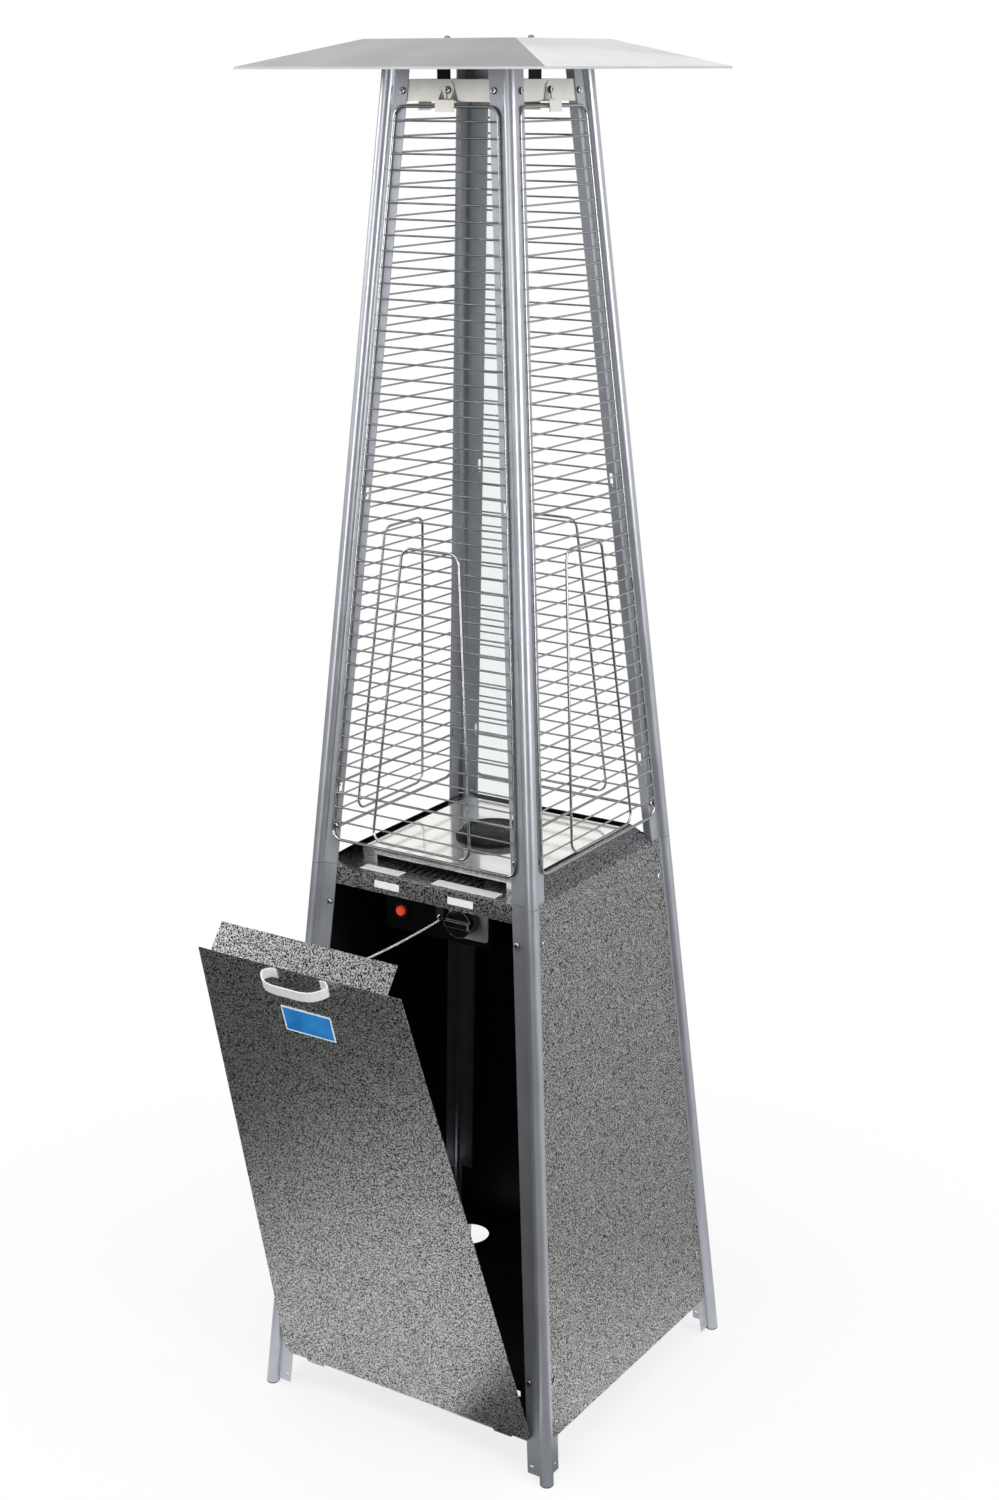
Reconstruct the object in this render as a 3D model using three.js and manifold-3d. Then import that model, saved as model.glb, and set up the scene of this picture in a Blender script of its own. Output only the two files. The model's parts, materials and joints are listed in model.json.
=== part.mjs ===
// Pyramid patio heater: a four-sided tapering tower with a glass flame tube, wire grilles,
// a flat-topped hood and a cabinet for a gas bottle whose front door leans open on a chain.
// Lengths are in millimetres, Z is up, the door faces -Y and the right side panel faces +X.

import * as THREE from 'three';
import { mergeVertices } from 'three/addons/utils/BufferGeometryUtils.js';
import Module from 'manifold-3d';

const wasm = await Module();
wasm.setup();

// Overall shape: the faces of the tower meet in four corner lines that lean inwards
const totalHeight = 2270;
const cornerAtGround = 286.5;
const cornerAtTop = 105;
const lean = (cornerAtGround - cornerAtTop) / totalHeight;
const sides = 4;
const quarterTurn = Math.PI / 2;

// Clearances
const seat = 0.3;
const runningGap = 0.5;
const overrun = 5;
const weld = 0.1;
const sameSpot = 1e-4;

// Corner posts: a rounded nose tube on the corner line with one flange along each face
const noseRadius = 11.5;
const sheet = 1.5;
const flangeLength = 37;
const postDrop = 24;
const postTop = totalHeight - postDrop;
const seamHeight = 970;
const seamGap = 0.9;
const noseFoot = 2.6;
const flangeFoot = 9.5;
const postScrewOffset = 29;
const anchorSlotHeight = 21;
const anchorSlotWidth = 7.5;
const anchorSlotTall = 3.5;
const noseSteps = 20;

// Splice angles that join each upper post to its lower post
const spliceSheet = 1.5;
const spliceReach = 76;
const spliceBottom = seamHeight - spliceReach;
const spliceTop = seamHeight + spliceReach;
const spliceInset = 14;
const spliceWidth = 22;

// Rubber foot plugs
const plugRim = 2.3;
const plugDepth = 20;
const plugBevel = 1.4;
const plugSteps = 24;

// Cabinet panels: flat pressings with a band along the top that slopes in to the burner plate
const panelSheet = 0.9;
const panelBottom = 70;
const panelBendDrop = 2;
const panelBend = seamHeight - panelBendDrop;
const panelEdgeInset = 16;
const panelCorner = 12;
const bandLength = 47.5;
const bandRise = THREE.MathUtils.degToRad(32.8);
const bandInset = 42.1;
const bandHalf = corner(panelBend) - bandInset;

// Door and its hinge
const doorBottom = 72;
const doorFootInset = 25.44;
const doorTopInset = 17.2;
const doorCorner = 9;
const doorOpen = THREE.MathUtils.degToRad(20.9);
const hingeHeight = 64;
const hingeDepth = 6;
const hingeRodRadius = 3;
const knuckleWall = 2.2;
const knuckleWidth = 32;
const knuckleSpacing = 195;
const leafSheet = 1.6;
const leafRise = 13;
const hingeSteps = 20;

// Door handle: a bent strap whose feet turn in and whose legs splay before it rounds over
const handleShift = 2;
const handleDrop = 3;
const handleWidth = 16;
const handleSheet = 2;
const handleToeHalf = 41;
const handleFootHalf = 52;
const handleCornerHalf = 61.5;
const handleCornerOut = 11.5;
const handleShoulderHalf = 54.5;
const handleShoulderOut = 23;
const handleKneeHalf = 38;
const handleKneeOut = 33;
const handleMidOut = 35;
const handleSteps = 12;

// Door chain and its eyes
const chainRadius = 2.2;
const chainSides = 8;
const chainSteps = 12;
const chainEyeX = 33;
const chainDoorX = 102;
const eyeWidth = 14;
const eyeDrop = 22;
const eyeGap = 0.7;
const eyeHole = chainRadius + eyeGap;
const eyeInset = 6.5;
const chainSag = 6;
const chainTail = 3;

// Base shelf with its corner ears
const shelfTop = 100;
const shelfSkirt = 26;
const shelfSheet = 1.2;
const shelfHoleRadius = 38.5;
const shelfHoleInset = 93;
const earInset = 15;
const earNear = 48;
const earFar = 66;
const earTall = 87;
const earTop = shelfTop + earTall;
const earNotchDrop = 39;
const earNotch = earTop - earNotchDrop;

// Control tray under the burner plate
const trayDrop = 4;
const trayTop = seamHeight - trayDrop;
const traySkirt = 29;
const traySheet = 1.2;
const trayHoleGap = 20;
const louvreCount = 12;
const louvrePitch = 14;
const louvreWidth = 5;
const louvreLength = 36;
const louvreInset = 41.3;
const louvreFront = corner(trayTop) - louvreInset;

// Burner plate and what stands in it
const plateInset = 52.3;
const plateHalf = corner(trayTop) - plateInset;
const plateRise = 24;
const plateTop = trayTop + plateRise;
const plateSkirt = 9;
const plateSheet = 1.2;
const plateFootWidth = 27;
const plateFootInset = 2;
const tubeRadius = 50;
const tubeWall = 3.5;
const tubeLedge = 0.5;
const burnerHole = tubeRadius - tubeWall - tubeLedge;
const tubeSteps = 40;
const collarGap = 0.8;
const collarWall = 2.5;
const collarFlange = 64;
const collarHeight = 15;
const collarSheet = 2;
const headGap = 6;
const headRadius = burnerHole - headGap;
const headFlangeReach = 10;
const headFlange = burnerHole + headFlangeReach;
const headFlangeSheet = 3;
const headRise = 18;
const headTop = plateTop + headRise;
const headDome = 6;
const headSteps = 32;
const mixerRadius = 16;
const mixerWall = 2;
const mixerLength = 92;
const mixerSteps = 24;

// Crossbars, clips and the plate that steadies the flame tube
const barDrop = 58;
const barTall = 32;
const barTop = totalHeight - barDrop;
const barBottom = barTop - barTall;
const barEnd = 19.5;
const barHalf = corner(barTop) - barEnd;
const barSheet = 2.5;
const clipWidthTop = 21;
const clipWidthFoot = 34;
const clipSheet = 1.5;
const clipHeadDrop = 2;
const clipTop = barTop - clipHeadDrop;
const clipShoulder = 2;
const clipStep = barBottom + clipShoulder;
const clipFootTall = 17;
const clipFoot = clipStep - clipFootTall;
const clipScrewDrop = 11;
const clipScrewHeight = clipTop - clipScrewDrop;
const clipTravel = 12;
const clipSlotWidth = 5.2;
const clipSteps = 10;
const topPlateSheet = 1.5;
const topPlateRise = 3;
const topPlateHeight = barBottom + topPlateRise;
const topPlateGap = 1.2;
const topPlateHole = tubeRadius + topPlateGap;
const tubeStandOut = 14;
const tubeTop = topPlateHeight + tubeStandOut;

// Wire grilles
const grilleTopGap = 7;
const grilleTopWire = barBottom - grilleTopGap;
const grilleRise = 45;
const grilleBottomWire = seamHeight + grilleRise;
const grilleTopInset = 20;
const grilleBottomInset = 25;
const frameWire = 6;
const grilleOffset = 2;
const grilleThick = 4;
const grilleCorner = 14;
const cornerSteps = 4;
const rungCount = 47;
const topRungGap = 21;
const bottomRungGap = 30.7;
const rungWire = 3;
const hookRungs = [24, 44];
const hookWire = 4;
const hookBend = 8;
const hookSlotWidth = 6;
const hookSlotRise = 22;
const hookInset = 30;

// Stiffening loops on the grilles
const loopRise = 12;
const loopTall = 482;
const loopBottomWire = grilleBottomWire + loopRise;
const loopTopWire = loopBottomWire + loopTall;
const loopHalfTop = 53;
const loopHalfBottom = 95;
const loopWire = 4.5;
const loopThick = 3.5;
const loopCorner = 18;

// Hood and its brackets
const hoodRimHalf = 274;
const hoodTall = 40;
const hoodRim = totalHeight - hoodTall;
const hoodFlatHalf = 136;
const hoodLip = 3.5;
const hoodSheet = 1;
const hoodSlope = Math.atan2(hoodTall, hoodRimHalf - hoodFlatHalf);
const hoodDrop = hoodSheet / Math.cos(hoodSlope);
const bracketWidth = 34;
const bracketSheet = 2;
const bracketJog = 22;
const bracketFlange = 14;
const bracketDrop = 16;
const bracketKnee = barTop - bracketDrop;
const bracketSlope = 12;
const bracketShoulder = bracketKnee + bracketSlope;
const boltRadius = 2.8;
const boltHead = 5;
const boltCrown = 5.2;
const boltCollar = 2;
const boltNut = 5;
const boltNutTall = 4.5;
const boltTail = 4;
const boltSteps = 16;

// Control box, valve, knob and igniter
const boxHalf = 105;
const boxTall = 102.5;
const boxInset = 44.3;
const boxFront = corner(trayTop) - boxInset;
const boxDepth = 62;
const boxSheet = 1.5;
const boxHem = 8;
const boxTop = trayTop - traySheet - seat;
const boxBottom = boxTop - boxTall;
const valveInset = 45;
const valveX = boxHalf - valveInset;
const valveDrop = 55.5;
const valveHeight = boxTop - valveDrop;
const valveRadius = 16;
const valveLength = 38;
const valveSteps = 24;
const stemRadius = 4;
const stemGap = 2;
const stemHole = stemRadius + stemGap;
const stemReach = 22;
const stemDepth = 14;
const dialHalfWidth = 38;
const dialHalfHeight = 36;
const dialCorner = 8;
const dialSheet = 1;
const knobRadius = 24;
const knobDeep = 33.5;
const knobGripRise = 6;
const knobGripWidth = 11;
const knobBevel = 1.5;
const knobTravel = 3;
const knobSteps = 36;
const igniterInset = 32.5;
const igniterX = igniterInset - boxHalf;
const igniterDrop = 68;
const igniterHeight = boxTop - igniterDrop;
const bezelRadius = 14;
const bezelOut = 3;
const igniterNeck = 12;
const neckGap = 0.4;
const igniterHole = igniterNeck + neckGap;
const igniterRadius = 11;
const igniterLength = 42;
const buttonRadius = 8;
const buttonOut = 9;
const buttonInside = 7;
const buttonTravel = 5;
const buttonDome = 2;
const boreWall = 0.3;
const smallSteps = 24;
const inletRadius = 5;
const inletNut = 8.5;
const inletNutTall = 8;
const inletLength = 20;
const inletBore = 2.5;
const pipeRadius = 4;
const pipeSides = 10;
const pipeSteps = 18;
const jetRadius = 7;
const jetLength = 12;
const electrodeRadius = 2;
const electrodeLength = 46;
const electrodeGap = 10.4;
const electrodeTurn = THREE.MathUtils.degToRad(53);

// Materials
function finish(colour, roughness, metalness, more = {}) {
    return () => new THREE.MeshStandardMaterial({ color: colour, roughness, metalness, ...more });
}
const silverPaint = finish(0x9b9ea3, 0.42, 0.6);
const brightSteel = finish(0xdcdad4, 0.25, 0.9);
const wireChrome = finish(0x8f9193, 0.3, 0.85);
const hammertone = finish(0x4a4b4d, 0.6, 0.5);
const paleAlloy = finish(0xdadcde, 0.35, 0.6);
const blackSteel = finish(0x1d1d1f, 0.6, 0.4);
const blackPlastic = finish(0x161617, 0.45, 0);
const blackRubber = finish(0x1a1a1a, 0.85, 0);
const redPlastic = finish(0xdd4a30, 0.4, 0);
const brass = finish(0xb08d4a, 0.35, 0.9);
const clearGlass = finish(0xe8f2f2, 0.05, 0, { transparent: true, opacity: 0.3 });
const ceramic = finish(0xe8e4da, 0.4, 0);

// Solids: every shape is made from three.js geometry and cut or joined as a closed solid
function solid(geometry) {
    const bare = geometry.clone();
    bare.deleteAttribute('normal');
    bare.deleteAttribute('uv');
    const merged = mergeVertices(bare, sameSpot);
    return new wasm.Manifold(new wasm.Mesh({
        numProp: 3,
        vertProperties: new Float32Array(merged.attributes.position.array),
        triVerts: new Uint32Array(merged.index.array),
    }));
}

function geometryOf(body) {
    const mesh = body.getMesh();
    const geometry = new THREE.BufferGeometry();
    geometry.setAttribute('position', new THREE.BufferAttribute(mesh.vertProperties, 3));
    geometry.setIndex(new THREE.BufferAttribute(mesh.triVerts, 1));
    geometry.computeVertexNormals();
    return geometry;
}

function joined(first, ...others) {
    return geometryOf(others.reduce((sum, each) => sum.add(solid(each)), solid(first)));
}

function cut(first, ...others) {
    return geometryOf(others.reduce((rest, each) => rest.subtract(solid(each)), solid(first)));
}

function common(first, second) {
    return geometryOf(solid(first).intersect(solid(second)));
}

// A block between two corners
function block(low, high) {
    const size = high.map((value, axis) => value - low[axis]);
    const geometry = new THREE.BoxGeometry(...size);
    return geometry.translate(...high.map((value, axis) => (value + low[axis]) / 2));
}

// A flat outline pushed along +Z, with round or straight-edged openings
function prism(outline, depth, openings = []) {
    const shape = new THREE.Shape(outline.map(([x, y]) => new THREE.Vector2(x, y)));
    shape.holes = openings.map((hole) => new THREE.Path(hole.map(([x, y]) => new THREE.Vector2(x, y))));
    return new THREE.ExtrudeGeometry(shape, { depth, bevelEnabled: false });
}

function roundBar(radius, low, high, steps) {
    return new THREE.CylinderGeometry(radius, radius, high - low, steps)
        .rotateX(quarterTurn)
        .translate(0, 0, (low + high) / 2);
}

// A turned piece about the Z axis, from points of radius and height
function turned(points, steps) {
    const profile = points.map(([r, z]) => new THREE.Vector2(r, z));
    return new THREE.LatheGeometry(profile, steps).rotateX(quarterTurn);
}

// A four-sided tapering block, stated by its half widths
function taper(lowHalf, highHalf, low, high) {
    return new THREE.CylinderGeometry(highHalf * Math.SQRT2, lowHalf * Math.SQRT2, high - low, sides)
        .rotateX(quarterTurn)
        .rotateZ(quarterTurn / 2)
        .translate(0, 0, (low + high) / 2);
}

// Half width of the tower at a height
function corner(height) {
    return cornerAtGround - lean * height;
}

// Moves a shape made at the ground line of the front face back along the leaning face
function leanFront(geometry) {
    const shear = new THREE.Matrix4().set(
        1, 0, 0, 0, 0, 1, lean, -cornerAtGround, 0, 0, 1, 0, 0, 0, 0, 1);
    return geometry.applyMatrix4(shear);
}

// Moves a shape made at the foot of the front right corner along the leaning corner line
function leanCorner(geometry) {
    const shear = new THREE.Matrix4().set(
        1, 0, -lean, cornerAtGround, 0, 1, lean, -cornerAtGround, 0, 0, 1, 0, 0, 0, 0, 1);
    return geometry.applyMatrix4(shear);
}

// A plate on the front face: its outline is in x and height, out is its back's offset outwards
function facePlate(outline, out, thickness, openings = []) {
    const plate = prism(outline, thickness, openings).rotateX(quarterTurn).translate(0, -out, 0);
    return leanFront(plate);
}

// The outline of a strip of even thickness that follows a line of points
function strip(points, thickness) {
    const line = points.map(([x, y]) => new THREE.Vector2(x, y));
    const side = (sign) => line.map((point, index) => {
        const before = line[Math.max(index - 1, 0)];
        const after = line[Math.min(index + 1, line.length - 1)];
        const along = point.clone().sub(before).normalize();
        along.add(after.clone().sub(point).normalize()).normalize();
        const straight = after.clone().sub(index > 0 ? point : before).normalize();
        const section = index < line.length - 1 ? straight : along;
        const reach = (sign * thickness) / 2 / along.dot(section);
        return [point.x - along.y * reach, point.y + along.x * reach];
    });
    return [...side(1), ...side(-1).reverse()];
}

// A four-cornered outline with rounded corners, from its half widths at two heights
function roundedFrame(halfLow, halfHigh, low, high, radius, steps) {
    const corners = [[-halfLow, low], [halfLow, low], [halfHigh, high], [-halfHigh, high]];
    return corners.flatMap(([x, y], index) => {
        const here = new THREE.Vector2(x, y);
        const before = new THREE.Vector2(...corners[(index + sides - 1) % sides]).sub(here).normalize();
        const after = new THREE.Vector2(...corners[(index + 1) % sides]).sub(here).normalize();
        const bend = before.angleTo(after) / 2;
        const start = here.clone().addScaledVector(before, radius / Math.tan(bend));
        const end = here.clone().addScaledVector(after, radius / Math.tan(bend));
        const curve = new THREE.QuadraticBezierCurve(start, here, end);
        return curve.getPoints(steps).map((point) => [point.x, point.y]);
    });
}

// The heater and the way pieces are hung in it
const heater = new THREE.Group();

function add(name, geometry, material, parent = heater) {
    const mesh = new THREE.Mesh(geometry, material());
    mesh.name = name;
    parent.add(mesh);
    return mesh;
}

// Copies of a front-face or front-right-corner piece, a quarter turn apart
const faceNames = ['front', 'right', 'rear', 'left'];
const cornerNames = ['front_right', 'rear_right', 'rear_left', 'front_left'];

function addAround(names, label, geometry, material) {
    names.forEach((name, turn) => {
        if (name) {
            add(`${label}_${name}`, geometry, material).rotation.z = turn * quarterTurn;
        }
    });
}

// Corner post section: x runs away from the corner along the front face as -x, y along the right face
function postSection() {
    const innerRadius = noseRadius - sheet;
    const innerStart = Math.asin(sheet / innerRadius);
    const arc = (radius, from, to) => Array.from({ length: noseSteps + 1 }, (unused, step) => {
        const angle = from + ((to - from) * step) / noseSteps;
        return [-radius * Math.cos(angle), radius * Math.sin(angle)];
    });
    return [
        [-flangeLength, 0],
        ...arc(noseRadius, 0, -3 * quarterTurn),
        [0, flangeLength],
        [-sheet, flangeLength],
        ...arc(innerRadius, -3 * quarterTurn - innerStart, innerStart),
        [-flangeLength, sheet],
    ];
}

// Heights of the grilles' rungs, from the top one down
function rungHeights() {
    const first = grilleTopWire - topRungGap;
    const last = grilleBottomWire + bottomRungGap;
    const pitch = (first - last) / (rungCount - 1);
    return Array.from({ length: rungCount }, (unused, index) => first - index * pitch);
}

// Each hook rod lies behind a rung, and its ends reach into slots in the posts
function hookHeights() {
    const heights = rungHeights();
    return hookRungs.map((index) => heights[index]);
}

// An opening through both flanges of a corner post
function flangeSlots(offset, width, low, high) {
    const near = offset - width / 2;
    const far = offset + width / 2;
    const front = block([-far, -overrun, low], [-near, sheet + overrun, high]);
    const side = block([-sheet - overrun, near, low], [overrun, far, high]);
    return [front, side].map(leanCorner);
}

function postBar(low, high) {
    return leanCorner(prism(postSection(), high - low).translate(0, 0, low));
}

function lowerPost() {
    const beyondNose = noseRadius + weld;
    const beyondFlange = flangeLength + overrun;
    const frontFoot = block([-beyondFlange, -overrun, 0], [-beyondNose, sheet + overrun, flangeFoot]);
    const sideFoot = block([-sheet - overrun, beyondNose, 0], [overrun, beyondFlange, flangeFoot]);
    const anchors = flangeSlots(postScrewOffset, anchorSlotWidth, anchorSlotHeight,
        anchorSlotHeight + anchorSlotTall);
    return cut(postBar(noseFoot, seamHeight), leanCorner(frontFoot), leanCorner(sideFoot), ...anchors);
}

function upperPost() {
    const low = seamHeight + seamGap;
    const near = spliceInset;
    const far = spliceInset + spliceWidth;
    const depth = sheet + seat + spliceSheet;
    const pieces = [
        block([-far, sheet + seat, spliceBottom], [-near, depth, spliceTop]),
        block([-depth, near, spliceBottom], [-sheet - seat, far, spliceTop]),
        block([-far, sheet - weld, low], [-near, depth, spliceTop]),
        block([-depth, near, low], [-sheet + weld, far, spliceTop]),
    ].map(leanCorner);
    const slots = hookHeights().flatMap((height) => {
        const bottom = height - hookWire / 2 - seat;
        return flangeSlots(hookInset, hookSlotWidth, bottom, bottom + hookSlotRise);
    });
    return cut(joined(postBar(low, postTop), ...pieces), ...slots);
}

function footPlug() {
    const shaft = noseRadius - sheet - seat;
    const profile = [
        [0, 0],
        [noseRadius - plugBevel, 0],
        [noseRadius, plugBevel],
        [noseRadius, plugRim],
        [shaft, plugRim],
        [shaft, plugDepth],
        [0, plugDepth],
    ];
    return leanCorner(turned(profile, plugSteps));
}

addAround(cornerNames, 'lower_post', lowerPost(), silverPaint);
addAround(cornerNames, 'upper_post', upperPost(), silverPaint);
addAround(cornerNames, 'foot_plug', footPlug(), blackRubber);

// A square tray that fits inside the posts: a top with a skirt along all four leaning faces
function insideTray(top, skirt, thickness, inset) {
    const low = top - skirt;
    const outer = taper(corner(low) - inset, corner(top) - inset, low, top);
    const innerLow = low - overrun;
    const innerHigh = top - thickness;
    const within = inset + thickness;
    const inner = taper(corner(innerLow) - within, corner(innerHigh) - within, innerLow, innerHigh);
    return cut(outer, inner);
}

// Base shelf: the gas bottle stands on it and its ears are screwed to the posts
function shelfEars() {
    const foot = shelfTop - shelfSheet;
    const outline = [
        [corner(foot) - earInset, foot],
        [corner(earTop) - earInset, earTop],
        [corner(earTop) - earFar, earTop],
        [corner(earNotch) - earFar, earNotch],
        [corner(earNotch) - earNear, earNotch],
        [corner(foot) - earNear, foot],
    ];
    const mirrored = outline.map(([x, y]) => [-x, y]).reverse();
    const depth = sheet + seat + shelfSheet;
    return faceNames.flatMap((name, turn) => [outline, mirrored].map((points) => (
        facePlate(points, -depth, shelfSheet).rotateZ(turn * quarterTurn))));
}

function baseShelf() {
    const tray = insideTray(shelfTop, shelfSkirt, shelfSheet, sheet + seat);
    const place = corner(shelfTop) - shelfHoleInset;
    const hole = roundBar(shelfHoleRadius, shelfTop - shelfSkirt, shelfTop + overrun, headSteps);
    const holes = faceNames.map((name, turn) => (
        hole.clone().translate(place, place, 0).rotateZ(turn * quarterTurn)));
    return cut(joined(tray, ...shelfEars()), ...holes);
}

add('base_shelf', baseShelf(), blackSteel);

// Cabinet panel pressing, made for the front face
function panelPressing(halfLow, halfHigh, bottom, cornerCut) {
    const outline = [
        [-halfLow + cornerCut, bottom],
        [halfLow - cornerCut, bottom],
        [halfLow, bottom + cornerCut],
        [halfHigh, panelBend],
        [-halfHigh, panelBend],
        [-halfLow, bottom + cornerCut],
    ];
    const plate = facePlate(outline, seat, panelSheet);
    const bendOut = -corner(panelBend) - seat - panelSheet / 2;
    const bendUp = panelBend - panelSheet / 2;
    const line = [
        [bendOut, bendUp],
        [bendOut + bandLength * Math.cos(bandRise), bendUp + bandLength * Math.sin(bandRise)],
    ];
    const band = prism(strip(line, panelSheet), 2 * bandHalf)
        .rotateX(quarterTurn)
        .rotateZ(quarterTurn)
        .translate(-bandHalf, 0, 0);
    return joined(plate, band);
}

const fixedPanel = panelPressing(
    corner(panelBottom) - panelEdgeInset, corner(panelBend) - panelEdgeInset, panelBottom, panelCorner);
addAround([null, 'right', 'rear', 'left'], 'side_panel', fixedPanel, hammertone);

// Control tray with air louvres and the eye for the door chain
function controlTray() {
    const inset = sheet + seat + spliceSheet + seat;
    const tray = insideTray(trayTop, traySkirt, traySheet, inset);
    const lip = trayTop - traySkirt;
    const eyeOutline = [
        [chainEyeX - eyeWidth / 2, lip + traySheet],
        [chainEyeX - eyeWidth / 2, lip - eyeDrop],
        [chainEyeX + eyeWidth / 2, lip - eyeDrop],
        [chainEyeX + eyeWidth / 2, lip + traySheet],
    ];
    const eyeCentre = lip - eyeDrop + eyeInset;
    const eyeRound = Array.from({ length: smallSteps / 2 }, (unused, step) => {
        const angle = (step * 4 * quarterTurn) / (smallSteps / 2);
        return [chainEyeX + eyeHole * Math.cos(angle), eyeCentre + eyeHole * Math.sin(angle)];
    });
    const eye = facePlate(eyeOutline, -inset - traySheet, traySheet, [eyeRound]);
    const burnerOpening = roundBar(headFlange + trayHoleGap, lip, trayTop + overrun, tubeSteps);
    const louvres = Array.from({ length: louvreCount }, (unused, index) => {
        const x = (index - (louvreCount - 1) / 2) * louvrePitch;
        return block(
            [x - louvreWidth / 2, -louvreFront, trayTop - traySheet - overrun],
            [x + louvreWidth / 2, louvreLength - louvreFront, trayTop + overrun]);
    });
    return cut(joined(tray, eye), burnerOpening, ...louvres);
}

add('control_tray', controlTray(), hammertone);

// Burner plate, standing on small feet
function burnerPlate() {
    const low = plateTop - plateSkirt;
    const outer = block([-plateHalf, -plateHalf, low], [plateHalf, plateHalf, plateTop]);
    const inside = plateHalf - plateSheet;
    const inner = block([-inside, -inside, low - overrun], [inside, inside, plateTop - plateSheet]);
    const far = plateHalf - plateFootInset;
    const near = far - plateFootWidth;
    const foot = block([near, -plateHalf, trayTop + seat], [far, -inside, low + weld]);
    const mirroredFoot = block([-far, -plateHalf, trayTop + seat], [-near, -inside, low + weld]);
    const feet = faceNames.flatMap((name, turn) => [foot, mirroredFoot].map((each) => (
        each.clone().rotateZ(turn * quarterTurn))));
    const opening = roundBar(burnerHole, low, plateTop + overrun, tubeSteps);
    return cut(joined(cut(outer, inner), ...feet), opening);
}

add('burner_plate', burnerPlate(), brightSteel);

// Flame tube with its collar
const tubeBottom = plateTop + seat;
const collarInner = tubeRadius + collarGap;
add('tube_collar', turned([
    [collarInner, plateTop + seat],
    [collarFlange, plateTop + seat],
    [collarFlange, plateTop + seat + collarSheet],
    [collarInner + collarWall, plateTop + seat + collarSheet],
    [collarInner + collarWall, plateTop + collarHeight],
    [collarInner, plateTop + collarHeight],
    [collarInner, plateTop + seat],
], tubeSteps), blackSteel);
add('flame_tube', turned([
    [tubeRadius - tubeWall, tubeBottom],
    [tubeRadius, tubeBottom],
    [tubeRadius, tubeTop],
    [tubeRadius - tubeWall, tubeTop],
    [tubeRadius - tubeWall, tubeBottom],
], tubeSteps), clearGlass);

// Burner head, held under the plate by its flange, and the mixing tube below it
const headSeat = plateTop - plateSheet - seat;
const headFoot = headSeat - headFlangeSheet;
add('burner_head', turned([
    [0, headFoot],
    [headFlange, headFoot],
    [headFlange, headSeat],
    [headRadius, headSeat],
    [headRadius, headTop - headDome],
    [headRadius - headDome, headTop],
    [0, headTop],
], headSteps), brightSteel);
const mixerTop = headFoot - seat;
const mixerFoot = mixerTop - mixerLength;
add('mixing_tube', turned([
    [mixerRadius - mixerWall, mixerFoot],
    [mixerRadius, mixerFoot],
    [mixerRadius, mixerTop],
    [mixerRadius - mixerWall, mixerTop],
    [mixerRadius - mixerWall, mixerFoot],
], mixerSteps), brightSteel);

// Spark electrode beside the burner head, hung under the burner plate
function sparkElectrode() {
    const steps = smallSteps / 2;
    const pin = roundBar(electrodeRadius, headSeat - electrodeLength, headSeat - headFlangeSheet, steps);
    const body = roundBar(electrodeRadius * 2, headSeat - electrodeLength / 2, headSeat, steps);
    return joined(pin, body)
        .translate(headFlange + electrodeGap, 0, 0)
        .rotateZ(-electrodeTurn);
}

add('spark_electrode', sparkElectrode(), ceramic);

// Crossbars behind the post flanges
const barOut = -sheet - seat - barSheet;
addAround(faceNames, 'crossbar', facePlate([
    [-barHalf, barBottom],
    [barHalf, barBottom],
    [barHalf, barTop],
    [-barHalf, barTop],
], barOut, barSheet), brightSteel);

// Plate between the crossbars that steadies the top of the flame tube
function topPlate() {
    const gapIn = sheet + seat + barSheet + seat;
    const high = topPlateHeight + topPlateSheet;
    const slab = taper(corner(topPlateHeight) - gapIn, corner(high) - gapIn, topPlateHeight, high);
    const opening = roundBar(topPlateHole, topPlateHeight - overrun, high + overrun, tubeSteps);
    return cut(slab, opening);
}

add('tube_top_plate', topPlate(), brightSteel);

// Clips on the crossbars that keep each grille hooked in
function clip() {
    const backOut = -sheet;
    const upper = backOut + clipSheet / 2;
    const lower = grilleOffset + grilleThick + seat + clipSheet / 2;
    const line = [[-upper, clipTop], [-upper, clipStep], [-lower, clipStep], [-lower, clipFoot]];
    const bent = leanFront(prism(strip(line, clipSheet), clipWidthFoot)
        .rotateX(quarterTurn)
        .rotateZ(quarterTurn)
        .translate(-clipWidthFoot / 2, 0, 0));
    const half = clipWidthTop / 2;
    const centre = clipTop - half;
    const round = Array.from({ length: clipSteps + 1 }, (unused, step) => {
        const angle = (2 * quarterTurn * step) / clipSteps;
        return [half * Math.cos(angle), centre + half * Math.sin(angle)];
    });
    const shape = [
        [-clipWidthFoot / 2, clipFoot - overrun],
        [clipWidthFoot / 2, clipFoot - overrun],
        [clipWidthFoot / 2, clipStep],
        ...round,
        [-clipWidthFoot / 2, clipStep],
    ];
    const outline = facePlate(shape, -grilleOffset - overrun, 2 * (overrun + grilleThick + grilleOffset));
    const slotLow = clipScrewHeight - clipTravel - clipSlotWidth / 2;
    const slotHigh = clipScrewHeight + clipSlotWidth / 2;
    const slot = leanFront(block(
        [-clipSlotWidth / 2, -overrun, slotLow], [clipSlotWidth / 2, overrun, slotHigh]));
    return cut(common(bent, outline), slot);
}

addAround(faceNames, 'grille_clip', clip(), brightSteel);

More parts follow.
